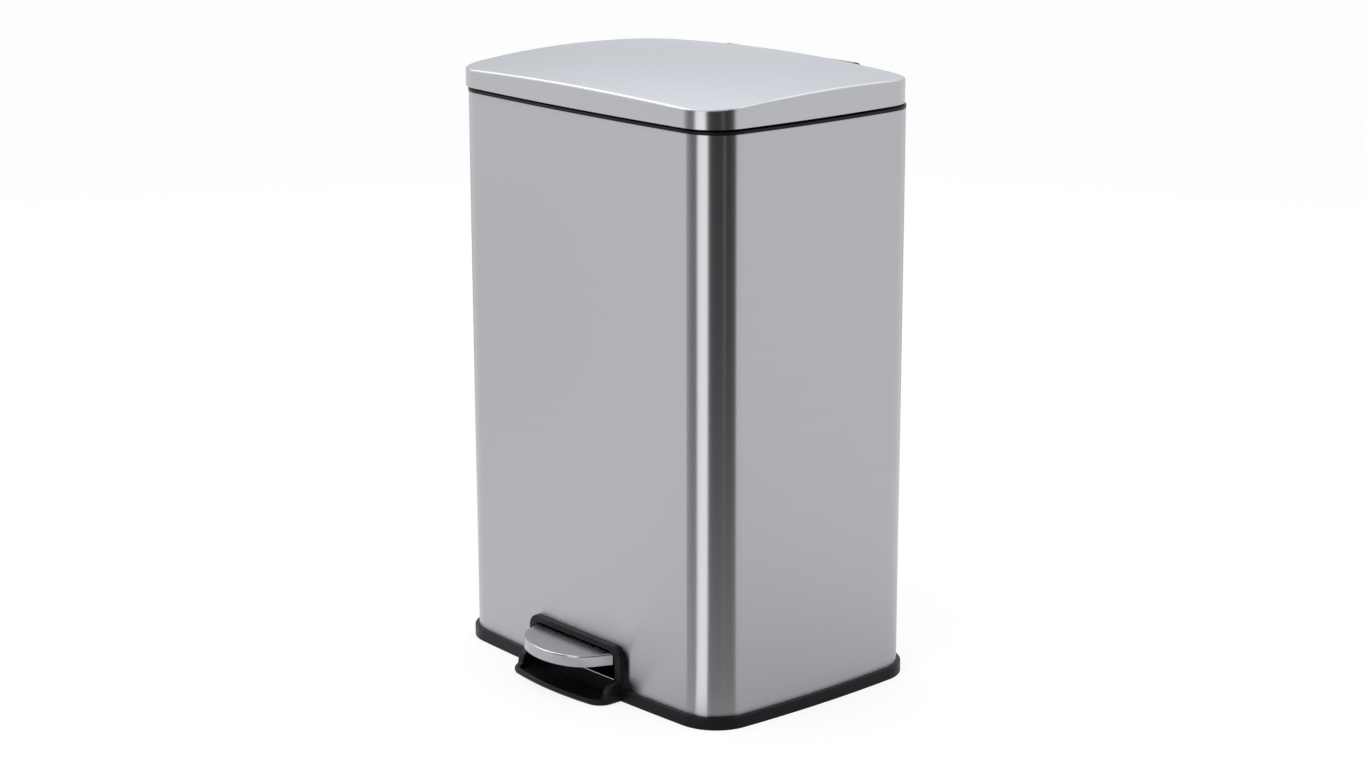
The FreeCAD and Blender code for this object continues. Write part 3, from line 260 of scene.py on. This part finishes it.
def moulded_plastic(name, tone, rough, grain=1800.0, strength=0.12, shine=0.176):
    """Satin plastic with fine pits, and a tone and gloss that drift a little."""
    material, shader, add = start_material(name)
    place = object_place(add)
    pits = noise(add, place, scale=grain, detail=1.0)
    drift = noise(add, place, scale=DRIFT_SCALE, detail=3.0)
    colour = blend(add, "RGBA", drift, grey(tone * (1.0 - TONE_DRIFT), COOL_BLACK),
                   grey(tone * (1.0 + TONE_DRIFT), COOL_BLACK))
    roughness = between(add, drift, rough - GLOSS_DRIFT, rough + GLOSS_DRIFT)
    bump = add("ShaderNodeBump", {"Height": pits, "Strength": strength, "Distance": PIT_DEPTH})
    feed(shader, Base_Color=colour, Roughness=roughness, Normal=bump.outputs["Normal"],
         Specular_IOR_Level=shine, Specular_Tint=COOL_SHINE)
    return material


BLACK = moulded_plastic("black_moulding", tone=0.006, rough=0.40)
HINGE = moulded_plastic("hinge_moulding", tone=0.05, rough=0.25, shine=0.5)
BUCKET = moulded_plastic("bucket_moulding", tone=0.035, rough=0.5)
RUBBER = moulded_plastic("soft_rubber", tone=0.02, rough=0.75, grain=900.0, strength=0.2)
print("moulded finishes:", BLACK.name, HINGE.name, BUCKET.name, RUBBER.name)

# %% [markdown]
# ## Zinc plate
#
# The lever, the rod, the pins and the screws are plain steel, plated with zinc against rust. Zinc sets in
# small crystals, which show as a faint mosaic. Noise alone has no cells, so a Voronoi texture gives each
# crystal a tone of its own. A noise over it dulls the plate in patches.

# %% Zinc plate
CRYSTAL_SCALE = 260.0
PATCH_SCALE = 60.0
CRYSTAL_SHARE = 0.4
PLATE_DULL = grey(0.46, (1.0, 1.0, 0.98))
PLATE_BRIGHT = grey(0.62, (0.98, 1.0, 1.04))
PLATE_ROUGH = (0.28, 0.42)


def plated_steel(name):
    """Metal whose crystals and patches vary its tone and its roughness together."""
    material, shader, add = start_material(name)
    place = object_place(add)
    cells = add("ShaderNodeTexVoronoi", {"Vector": place, "Scale": CRYSTAL_SCALE}).outputs["Color"]
    crystal = add("ShaderNodeSeparateColor", {"Color": cells}).outputs[0]
    patch = noise(add, place, scale=PATCH_SCALE, detail=4.0)
    plate = calculate(add, "ADD", between(add, crystal, 0.0, CRYSTAL_SHARE),
                      between(add, patch, 0.0, 1.0 - CRYSTAL_SHARE))
    colour = blend(add, "RGBA", plate, PLATE_DULL, PLATE_BRIGHT)
    feed(shader, Base_Color=colour, Metallic=1.0, Roughness=between(add, plate, *PLATE_ROUGH))
    return material


PLATED = plated_steel("zinc_plate")
print("plated finish:", PLATED.name)

# %% [markdown]
# ## Finishes onto the parts
#
# On the bin each part is made of one material, and the parts' record says which. The finishes could be
# assigned one by one, but a loop over the record forgets none. Three parts have a finish of their own:
# the lid and the pedal's cap are pressed from other sheets than the wrapper, and the hinge is glossier.

# %% Finishes onto the parts
NODES = frame["nodes"]
FINISHES = {"brushed_steel": STEEL, "black_plastic": BLACK, "bucket_plastic": BUCKET, "rubber": RUBBER,
            "plated_steel": PLATED}
OWN_FINISHES = {"lid_skin": LID_STEEL, "pedal_cap": CAP_STEEL, "hinge_housing": HINGE}
for entry in frame["record"]["subparts"]:
    finish = OWN_FINISHES.get(entry["node"], FINISHES[entry["material_slot"]])
    NODES[entry["node"]].material_slots[0].material = finish
print("finishes on", len(NODES), "parts")

# %% [markdown]
# ## Screws
#
# The bin is held together by screws with a cross recess: four in the hinge, six under the lid and four in
# the bottom plate. Copies of one modelled screw would do for one group, but heads and lengths differ. A
# Geometry Nodes tree makes the screw from its sizes and sets it on every point of a small mesh, so one
# recipe serves all three groups. First come the tree's named inputs.

# %% Inputs of the screw tree
SCREW_SIZES = ("Head Radius", "Head Height", "Shank Radius", "Shank Length", "Recess Width")


def start_screw_tree(name):
    """Tree with its inputs and output, the input sockets, and the function that adds nodes to it."""
    tree = bpy.data.node_groups.new(name, "GeometryNodeTree")
    kinds = {"Points": "Geometry", **{size: "Float" for size in SCREW_SIZES}}
    kinds.update({"Facing": "Rotation", "Finish": "Material"})
    for label, kind in kinds.items():
        tree.interface.new_socket(label, in_out="INPUT", socket_type="NodeSocket" + kind)
    tree.interface.new_socket("Screws", in_out="OUTPUT", socket_type="NodeSocketGeometry")
    return tree, tree.nodes.new("NodeGroupInput").outputs, node_adder(tree)


print("screw sizes:", ", ".join(SCREW_SIZES))

# %% [markdown]
# The head is a low disc with a sloping side, and the cross is pressed into its outer face. A bump could
# draw the cross, but it would look flat at a slant and would be lost in the mesh. So two crossed bars are
# cut out of the disc with a Mesh Boolean. They reach well above the disc, so the cut is clean on top, and
# nearly half way down into it.

# %% Screw head
HEAD_SIDES = 32
HEAD_RINGS = 3
HEAD_TAPER = 0.72
RECESS_REACH = 1.1
RECESS_LIFT = 0.05


def times(add, value, factor):
    return calculate(add, "MULTIPLY", value, factor)


def raised(add, mesh, height):
    """Mesh moved along Z."""
    place = add("ShaderNodeCombineXYZ", {"Z": height}).outputs[0]
    return add("GeometryNodeTransform", {"Geometry": mesh, "Translation": place}).outputs[0]


def screw_head(add, source):
    """Disc with a cross recess; its outer face is level with the point and looks along +Z."""
    radius, height, narrow = source["Head Radius"], source["Head Height"], source["Recess Width"]
    disc = add("GeometryNodeMeshCone", {"Vertices": HEAD_SIDES, "Side Segments": HEAD_RINGS,
                                        "Radius Top": times(add, radius, HEAD_TAPER),
                                        "Radius Bottom": radius, "Depth": height}).outputs["Mesh"]
    disc = raised(add, disc, times(add, height, -1.0))
    cut = add("GeometryNodeMeshBoolean", {"Mesh 1": disc}, operation="DIFFERENCE", solver="EXACT")
    long = times(add, radius, RECESS_REACH)
    for width, depth in ((long, narrow), (narrow, long)):
        size = add("ShaderNodeCombineXYZ", {"X": width, "Y": depth, "Z": height}).outputs[0]
        bar = add("GeometryNodeMeshCube", {"Size": size}).outputs["Mesh"]
        plug_in(cut.id_data, cut.inputs["Mesh 2"], raised(add, bar, times(add, height, RECESS_LIFT)))
    return cut.outputs["Mesh"]


print("screw head with", HEAD_SIDES, "sides")

# %% [markdown]
# Under the head goes the shank, which holds the screw in its hole. A thread could be cut with a helix,
# but the hole hides it, so a plain cylinder is enough.

# %% Screw shank
SHANK_SIDES = 20


def screw_shank(add, source):
    """Plain cylinder that hangs under the head."""
    length = source["Shank Length"]
    shank = add("GeometryNodeMeshCylinder", {"Vertices": SHANK_SIDES, "Radius": source["Shank Radius"],
                                             "Depth": length}).outputs["Mesh"]
    drop = calculate(add, "SUBTRACT", times(add, length, -0.5), source["Head Height"])
    return raised(add, shank, drop)


print("screw shank with", SHANK_SIDES, "sides")

# %% [markdown]
# Each screw was driven until it was tight and stopped at an angle of its own. The angles could be typed
# in, but a random turn with a fixed seed does the same and is repeatable. The tree ends by making real
# faces of the copies, because instances are lost in an export.

# %% Screws on every point
SCREW_SEED = 7
NO_TURN = (0.0, 0.0, 0.0)
FULL_TURN = (0.0, 0.0, math.tau)


def screw_tree():
    """Tree that sets a screw on each point."""
    tree, source, add = start_screw_tree("cross_screws")
    screw = add("GeometryNodeJoinGeometry")
    for mesh in (screw_head(add, source), screw_shank(add, source)):
        plug_in(tree, screw.inputs[0], mesh)
    spread = add("GeometryNodeInstanceOnPoints", {"Points": source["Points"], "Instance": screw.outputs[0],
                                                  "Rotation": source["Facing"]}).outputs[0]
    turn = add("FunctionNodeRandomValue", {"Min": NO_TURN, "Max": FULL_TURN, "Seed": SCREW_SEED},
               data_type="FLOAT_VECTOR").outputs[0]
    turned = add("GeometryNodeRotateInstances", {"Instances": spread, "Rotation": turn}).outputs[0]
    whole = add("GeometryNodeRealizeInstances", {"Geometry": turned}).outputs[0]
    done = add("GeometryNodeSetMaterial", {"Geometry": whole, "Material": source["Finish"]}).outputs[0]
    plug_in(tree, tree.nodes.new("NodeGroupOutput").inputs[0], done)
    return tree


SCREW_TREE = screw_tree()
print("screw tree with", len(SCREW_TREE.nodes), "nodes")

# %% [markdown]
# A screw's place is the middle of its head's outer face. The places could be typed in, but then they
# would not follow the parts. The plain solids already have a screw in each hole, as loose faces in one
# mesh. So its points are gathered into screws by their distance from each other, and each screw is
# measured.

# %% Where the screws sit
SCREW_APART = 0.009


def gather_screws(node, axis):
    """Points of each screw of a node, told apart by their distance across the screws' axis."""
    screws = []
    for vertex in NODES[node].data.vertices:
        point = vertex.co.copy()
        flat = point.copy()
        flat[axis] = 0.0
        for first, points in screws:
            if (first - flat).length < SCREW_APART:
                points.append(point)
                break
        else:
            screws.append((flat, [point]))
    return [points for first, points in screws]


def screw_places(node, axis, outward):
    """Middle of each head's outer face, and the whole length of the shortest screw."""
    places, lengths = [], []
    for points in gather_screws(node, axis):
        low = Vector([min(point[i] for point in points) for i in range(3)])
        high = Vector([max(point[i] for point in points) for i in range(3)])
        place = (low + high) / 2
        place[axis] = high[axis] if outward > 0 else low[axis]
        places.append(place)
        lengths.append(high[axis] - low[axis])
    return places, min(lengths)


print("screws are told apart at", SCREW_APART, "m")

# %% [markdown]
# Now the tree runs on a small mesh of points, through a modifier. Its inputs are set by the sockets' own
# identifiers, which stay the same if a label changes. The modifier could stay live, but a plain mesh
# moves and exports like any other piece, so the result is copied into one.


# %% Mesh from the tree
def mesh_from_tree(name, places, tree, values):
    """Plain mesh of what the tree makes on these points."""
    points = bpy.data.meshes.new(name + "_points")
    points.from_pydata(places, [], [])
    holder = bpy.data.objects.new(name + "_holder", points)
    bpy.context.scene.collection.objects.link(holder)
    modifier = holder.modifiers.new("screws", "NODES")
    modifier.node_group = tree
    for socket in tree.interface.items_tree:
        if socket.in_out == "INPUT" and socket.name in values:
            modifier[socket.identifier] = values[socket.name]
    holder.update_tag()
    bpy.context.view_layer.update()
    mesh = bpy.data.meshes.new_from_object(holder.evaluated_get(bpy.context.evaluated_depsgraph_get()))
    bpy.data.objects.remove(holder)
    return mesh


print("the tree has", len(SCREW_TREE.interface.items_tree), "named sockets")

# %% [markdown]
# The hinge's screws go in from the back, and those of the lid and the bottom plate from below. Their
# heads differ in height, so that each group lies in its recess as the plain screws do. Every screw could
# be a piece by itself, but a group moves as one. The new screws take the place of the plain ones and ride
# on the body that those were on.

# %% Screws into their holes
HEAD_RADIUS = 0.00375
SHANK_RADIUS = 0.0020
RECESS_WIDTH = 0.0009
TO_THE_BACK = (-math.pi / 2, 0.0, 0.0)
DOWNWARDS = (math.pi, 0.0, 0.0)
SCREWS = {
    "hinge_screws": {"body": "bin_body", "axis": 1, "outward": 1, "facing": TO_THE_BACK, "head": 0.0024},
    "lid_screws": {"body": "lid", "axis": 2, "outward": -1, "facing": DOWNWARDS, "head": 0.0012},
    "plate_screws": {"body": "bin_body", "axis": 2, "outward": -1, "facing": DOWNWARDS, "head": 0.0008},
}


def set_screws(node, body, axis, outward, facing, head):
    """Cross-recess screws in place of the plain ones of a node."""
    places, length = screw_places(node, axis, outward)
    mesh = mesh_from_tree(node, places, SCREW_TREE, {
        "Head Radius": HEAD_RADIUS, "Head Height": head, "Shank Radius": SHANK_RADIUS,
        "Shank Length": length - head, "Recess Width": RECESS_WIDTH, "Facing": facing, "Finish": PLATED})
    mesh.name = "cross_" + node
    piece = bpy.data.objects.new("cross_" + node, mesh)
    bpy.context.scene.collection.objects.link(piece)
    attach(piece, body)
    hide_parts(node)
    print(node, len(places), "screws,", len(mesh.polygons), "faces")


for node, sizes in SCREWS.items():
    set_screws(node, **sizes)

# %% [markdown]
# ## Meshes from columns of points
#
# The hem and the studio's cards are both strips: the same few points, repeated in columns along a line or
# round a centre. Blender's own tools could sweep them, but a strip is easy to write down, and then its
# faces are known to point outwards. These helpers join the columns with faces and make an object of them.


# %% Strips
def strip_faces(steps, row, closed=False):
    """Faces between columns of points; a closed section also joins its last point to its first."""
    faces = []
    for i in range(steps):
        for k in range(row if closed else row - 1):
            after = (k + 1) % row
            faces.append((i * row + k, (i + 1) * row + k, (i + 1) * row + after, i * row + after))
    return faces


def mesh_piece(name, points, faces, material):
    """New object with a mesh of its own and one material."""
    mesh = bpy.data.meshes.new(name)
    mesh.from_pydata(points, [], faces)
    mesh.update()
    mesh.materials.append(material)
    piece = bpy.data.objects.new(name, mesh)
    bpy.context.scene.collection.objects.link(piece)
    return piece


print("strip helpers ready")

# %% [markdown]
# ## Rolled hem under the pedal
#
# The pedal comes out through a window in the steel wall. Sheet is sharp where it is cut, so a maker rolls
# the window's lower edge over, and the roll catches a thin line of light. A bevelled curve could make it,
# but it would be round all over and stand up above the sheet, in the pedal's way. So the section is a
# short arc that leans back from its foot, closed behind, and bedded a little into the sheet.

# %% Section of the hem
HEM_FOOT = 0.01775
HEM_ROLL = 0.002
HEM_LEAN = math.radians(22.0)
HEM_PROUD = 0.00015
HEM_BED = 0.00005
ARC_STEPS = 5


def hem_section():
    """Section of the hem as (outward, height) pairs, measured from the wall's face."""
    angles = [HEM_LEAN * k / ARC_STEPS for k in range(ARC_STEPS + 1)]
    face = [(HEM_PROUD - HEM_ROLL * (1.0 - math.cos(a)), HEM_FOOT + HEM_ROLL * math.sin(a)) for a in angles]
    return face + [(-HEM_BED, face[-1][1]), (-HEM_BED, HEM_FOOT)]


print("hem section of", len(hem_section()), "points")

# %% [markdown]
# The section is repeated in columns along the wall. A straight strip would be simpler, but the wall bows,
# and the strip's ends would stand off it by 0.7 mm. So each column is set on the arc of the bow, and two
# end faces close the strip. A worn edge is smoother than the sheet, so the roll has a smoother steel of its
# own, and its brighter tone is painted highlight that makes the thin line of light stronger.

# %% Rolled hem
HEM_HALF = 0.0655
HEM_STEPS = 24
WALL_BOW = 3.0


def rolled_hem(name, material):
    """Closed strip along the lower edge of the pedal's window."""
    wall = min(vertex.co.y for vertex in NODES["outer_shell"].data.vertices)
    section = hem_section()
    row = len(section)
    points = []
    for i in range(HEM_STEPS + 1):
        x = -HEM_HALF + 2.0 * HEM_HALF * i / HEM_STEPS
        face_y = wall + WALL_BOW - math.sqrt(WALL_BOW ** 2 - x ** 2)
        points += [(x, face_y - outward, height) for outward, height in section]
    faces = strip_faces(HEM_STEPS, row, closed=True)
    faces.append(tuple(range(row)))
    faces.append(tuple(reversed(range(HEM_STEPS * row, (HEM_STEPS + 1) * row))))
    piece = mesh_piece(name, points, faces, material)
    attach(piece, "bin_body")
    print(name, len(faces), "faces, wall at", round(wall, 4))


# Tone 0.60, brighter than the sheet's 0.44, is painted highlight on the roll; its low roughness is real.
HEM_STEEL_PAINTED_HIGHLIGHT = brushed_steel("rolled_edge_painted_highlight", tone=0.60, rough=0.14, stretch=0.0)
rolled_hem("window_hem", HEM_STEEL_PAINTED_HIGHLIGHT)

# %% [markdown]
# ## Ground
#
# The bin stands on a plain pale ground that runs out to white. More light could make it white, but would
# bleach the bin as well. So the ground is plain diffuse paper, which keeps the bin's shadow, mixed with a
# glow that only the camera and mirrors see. The glow hides that shadow from mirrors, so two soft shades are
# painted into it for mirrors alone: a painted shadow of the bin near its foot, and a wider painted dim
# patch further off. They let the tone of the steel walls fall off towards the base.

# %% Glow in mirrors
GROUND_WHITE = 1.09
# Painted shades in the glow that mirrors see: the bin's shadow by its foot, and a dim patch to the front
# left.
PAINTED_GROUND_SHADES = [{"centre": (0.26, -0.05, 0.0), "reach": 0.60, "depth": 0.44},
               {"centre": (-1.40, -1.05, 0.0), "reach": 1.00, "depth": 0.24}]


def mirrored_glow(add, place):
    """Strength of the glow in mirrors, dimmed by the painted shades."""
    strength = GROUND_WHITE
    for shade in PAINTED_GROUND_SHADES:
        away = add("ShaderNodeVectorMath", {0: place, 1: shade["centre"]}, operation="DISTANCE")
        fade = ease(add, away.outputs["Value"], 0.0, shade["reach"], low=1.0 - shade["depth"])
        strength = calculate(add, "MULTIPLY", strength, fade)
    return strength


print("glow of", GROUND_WHITE, "with", len(PAINTED_GROUND_SHADES), "shades in mirrors")

# %% [markdown]
# Paper and glow are mixed by the kind of ray that meets them, which a Light Path node tells. Two grounds,
# one for the camera and one for the light, could do the same, but they would have to lie in one place.
# The glow lights nothing, so the renderer needn't sample it as a lamp.

# %% Ground finish
GROUND_TONES = (grey(0.84), grey(0.86))
GROUND_CLOUD = 3.0
GROUND_GLOW = 0.72


def ground_finish(name):
    """Diffuse paper, mixed with a glow for the camera and for mirrors."""
    material, shader, add = start_material(name)
    place = object_place(add)
    tone = blend(add, "RGBA", noise(add, place, scale=GROUND_CLOUD, detail=2.0), *GROUND_TONES)
    paper = add("ShaderNodeBsdfDiffuse", {"Color": tone}).outputs[0]
    path = add("ShaderNodeLightPath").outputs
    strength = between(add, path["Is Glossy Ray"], GROUND_WHITE, mirrored_glow(add, place))
    glow = add("ShaderNodeEmission", {"Strength": strength}).outputs[0]
    seen = calculate(add, "MAXIMUM", path["Is Camera Ray"], path["Is Glossy Ray"])
    share = calculate(add, "MULTIPLY", seen, GROUND_GLOW)
    mixed = add("ShaderNodeMixShader", {0: share, 1: paper, 2: glow}).outputs[0]
    feed(material.node_tree.nodes["Material Output"], Surface=mixed)
    material.cycles.emission_sampling = "NONE"
    return material


GROUND = ground_finish("studio_floor")
print("ground finish:", GROUND.name)

# %% [markdown]
# The ground itself is one square at the height that the bin stands on. A curved backdrop could hide the
# horizon, but the world behind is as white as the ground, so a wide flat square is enough.

# %% Ground
GROUND_HALF = 12.0
corners = [(x * GROUND_HALF, y * GROUND_HALF, 0.0) for x, y in ((-1, -1), (1, -1), (1, 1), (-1, 1))]
floor = mesh_piece("studio_ground", corners, [(0, 1, 2, 3)], GROUND)
print("ground of", 2.0 * GROUND_HALF, "m")

# %% [markdown]
# ## Cards for the steel to mirror
#
# Bare steel has little colour of its own and shows what stands round it. Lamps would put small hard spots
# on it, so studios use large cards instead, white, grey or black, just outside the picture. Here a card
# is a part of a ring round a centre. Its profile gives distance and height, from low to high. The camera
# doesn't see a card, it throws no shadow, and unless it is said to light the bin only mirrors see it.


# %% Cards
def card_finish(name, glow, tint, lights):
    """Even glow; a card for mirrors alone isn't sampled as a lamp."""
    material, shader, add = start_material(name)
    shine = add("ShaderNodeEmission", {"Color": grey(1.0, tint), "Strength": glow}).outputs[0]
    feed(material.node_tree.nodes["Material Output"], Surface=shine)
    if not lights:
        material.cycles.emission_sampling = "NONE"
    return material


def sector_card(name, span, profile, glow, centre=(0.0, 0.0), tint=WHITE, steps=12, lights=False):
    """Card over a span of azimuths, in degrees from -Y towards +X."""
    points = []
    for i in range(steps + 1):
        azimuth = math.radians(span[0] + (span[1] - span[0]) * i / steps)
        for reach, height in profile:
            points.append((centre[0] + reach * math.sin(azimuth),
                           centre[1] - reach * math.cos(azimuth), height))
    finish = card_finish(name + "_glow", glow, tint, lights)
    card = mesh_piece(name, points, strip_faces(steps, len(profile)), finish)
    card.visible_camera = False
    card.visible_shadow = False
    card.visible_diffuse = lights
    card.visible_transmission = False
    print(name, "from", span[0], "to", span[1], "degrees, glow", glow)


# %% [markdown]
# The wrapper's round corner squeezes all that stands in front of it into narrow upright bands: grey,
# bright, and dark with a thin gleam. The bands could be painted on the steel, but they would then stay
# there when the bin is seen from elsewhere. These cards are centred on the corner's own axis, so the
# edges of the bands run straight down to the base. Grey and dark begin as aprons on the ground, in steps
# that darken outwards, and each band goes on as an upright wall.

# %% Cards for the corner
CORNER = (0.177, -0.113)
NEAR = [(0.07, 0.002), (0.42, 0.003)]
MIDDLE = [(0.42, 0.003), (0.85, 0.004)]
FAR = [(0.85, 0.004), (1.5, 0.005)]
UPRIGHT = [(1.5, 0.005), (1.5, 2.5)]
GLEAM = [(1.45, 0.006), (1.45, 2.5)]
GREY_SPAN = (-34.5, -5.7)
BRIGHT_SPAN = (-5.7, 25.3)
DARK_SPAN = (25.3, 103.7)
GLEAM_SPAN = (68.3, 71.8)
sector_card("card_grey_near", GREY_SPAN, NEAR, glow=0.60, centre=CORNER)
sector_card("card_grey_middle", GREY_SPAN, MIDDLE, glow=0.45, centre=CORNER)
sector_card("card_grey_far", GREY_SPAN, FAR + UPRIGHT[1:], glow=0.25, centre=CORNER)
sector_card("card_bright", BRIGHT_SPAN, NEAR[:1] + UPRIGHT, glow=1.7, centre=CORNER, lights=True)
sector_card("card_dark_near", DARK_SPAN, NEAR, glow=0.42, centre=CORNER)
sector_card("card_dark_middle", DARK_SPAN, MIDDLE, glow=0.26, centre=CORNER)
sector_card("card_dark_far", DARK_SPAN, FAR, glow=0.09, centre=CORNER)
sector_card("card_dark", DARK_SPAN, UPRIGHT, glow=0.02, centre=CORNER)
sector_card("card_gleam", GLEAM_SPAN, GLEAM, glow=0.30, centre=CORNER, steps=2)

# %% [markdown]
# The lid's dome leans, so it mirrors what is behind the bin: the near part of the dome looks high up and
# the far part low down. One even card would leave the dome flat, and a lamp would burn a spot into it.
# Three bands of a tall card, brighter towards the top and slightly cool, let the dome grow lighter
# towards the front. A dim apron on the ground is for the lid's far edge.

# %% Cards for the lid
LID_TINT = (0.93, 0.97, 1.0)
BACK_SPAN = (180.0, 265.0)
BACK_REACH = 3.4
BACK_BANDS = {"low": (0.7, 1.6, 0.70), "mid": (1.6, 2.4, 1.00), "high": (2.4, 5.0, 1.80)}
BEHIND_SPAN = (195.0, 262.0)
BEHIND = [(0.45, 0.002), (3.3, 0.006)]
for band, (low, high, glow) in BACK_BANDS.items():
    sector_card("card_back_" + band, BACK_SPAN, [(BACK_REACH, low), (BACK_REACH, high)], glow,
                tint=LID_TINT, lights=True)
sector_card("card_behind", BEHIND_SPAN, BEHIND, glow=0.50)

# %% [markdown]
# A pressed lid shows a thin line of light along its rounded edges, where the sheet turns from the dome to
# the skirt. It could be drawn as a pale wire, but a real edge gets it from something bright overhead. So
# two bright cards hang above, one for the front edge and one for the side edge. Their spans keep out of
# the direction that the dome itself mirrors, and the right one starts higher, to leave the skirt dark.

# %% Cards for the lid's edges
ABOVE = [(3.0, 3.2), (1.0, 4.2)]
LEFT_SPAN = (-90.0, -40.0)
LEFT_EDGE = (3.2, 1.85)
RIGHT_SPAN = (135.0, 175.0)
RIGHT_EDGE = (3.0, 2.8)
sector_card("card_above_left", LEFT_SPAN, [LEFT_EDGE] + ABOVE, glow=3.0)
sector_card("card_above_right", RIGHT_SPAN, [RIGHT_EDGE] + ABOVE, glow=3.0)

# %% [markdown]
# ## World
#
# Soft light from all sides fills the shadows, as in a white tent. A picture of a real studio could give
# it, but it would bring things into the steel that don't belong there. So the world is plain white. It
# lights the bin at a plain level, and what the camera, mirrors and clear things see of it is full white.

# %% World
WORLD_LIGHT = 0.75
WORLD_SEEN = 1.0
world = bpy.data.worlds.new("studio_world")
bpy.context.scene.world = world
world.use_nodes = True
add = node_adder(world.node_tree)
path = add("ShaderNodeLightPath").outputs
seen = calculate(add, "MAXIMUM", path["Is Camera Ray"], path["Is Glossy Ray"])
clear = calculate(add, "MAXIMUM", seen, path["Is Transmission Ray"])
feed(world.node_tree.nodes["Background"], Color=grey(1.0),
     Strength=between(add, clear, WORLD_LIGHT, WORLD_SEEN))
print("world lights at", WORLD_LIGHT, "and is seen at", WORLD_SEEN)

# %% [markdown]
# ## Lamp
#
# The bin throws a soft shadow on the ground, so one light comes from above. A sun or a small lamp would
# give the shadow hard edges, and a wide disk gives it soft ones. Mirrors don't see the disk, because the
# steel shows no round lamp.

# %% Lamp
LAMP_PLACE = Vector((0.3, -0.6, 3.2))
LAMP_AIM = Vector((0.0, 0.0, 0.2))
LAMP_SIZE = 2.4
LAMP_POWER = 26.0
lamp = bpy.data.lights.new("light_above", "AREA")
lamp.shape = "DISK"
lamp.size = LAMP_SIZE
lamp.energy = LAMP_POWER
holder = bpy.data.objects.new("light_above", lamp)
holder.location = LAMP_PLACE
holder.rotation_euler = (LAMP_AIM - LAMP_PLACE).to_track_quat("-Z", "Y").to_euler()
holder.visible_glossy = False
bpy.context.scene.collection.objects.link(holder)
print("lamp of", LAMP_POWER, "W at", tuple(round(v, 2) for v in LAMP_PLACE))

# %% [markdown]
# ## Camera
#
# The camera stands where the photograph was taken from. It could be placed by eye, but small errors of
# place and lens hide each other. So its place, direction, roll and lens were fitted together to the bin's
# edges in the picture. It has no shift, so that other views of the bin stay in the middle of the frame.

# %% Camera
CAMERA_PLACE = Vector((2.2205, -1.9300, 1.0713))
CAMERA_AZIMUTH = math.radians(49.015)
CAMERA_PITCH = math.radians(14.668)
CAMERA_ROLL = math.radians(-0.098)
CAMERA_LENS = 74.97
SENSOR_WIDTH = 36.0

lens = bpy.data.cameras.new("photo_camera")
lens.lens = CAMERA_LENS
lens.sensor_width = SENSOR_WIDTH
camera = bpy.data.objects.new("photo_camera", lens)
level = math.cos(CAMERA_PITCH)
looking = Vector((-math.sin(CAMERA_AZIMUTH) * level, math.cos(CAMERA_AZIMUTH) * level,
                  -math.sin(CAMERA_PITCH)))
turn = looking.to_track_quat("-Z", "Y").to_matrix().to_4x4()
turn = turn @ Matrix.Rotation(CAMERA_ROLL, 4, "Z")
camera.matrix_world = Matrix.Translation(CAMERA_PLACE) @ turn
bpy.context.scene.collection.objects.link(camera)
bpy.context.scene.camera = camera
bpy.context.scene.view_settings.view_transform = "Standard"
print("camera at", tuple(round(v, 3) for v in CAMERA_PLACE))
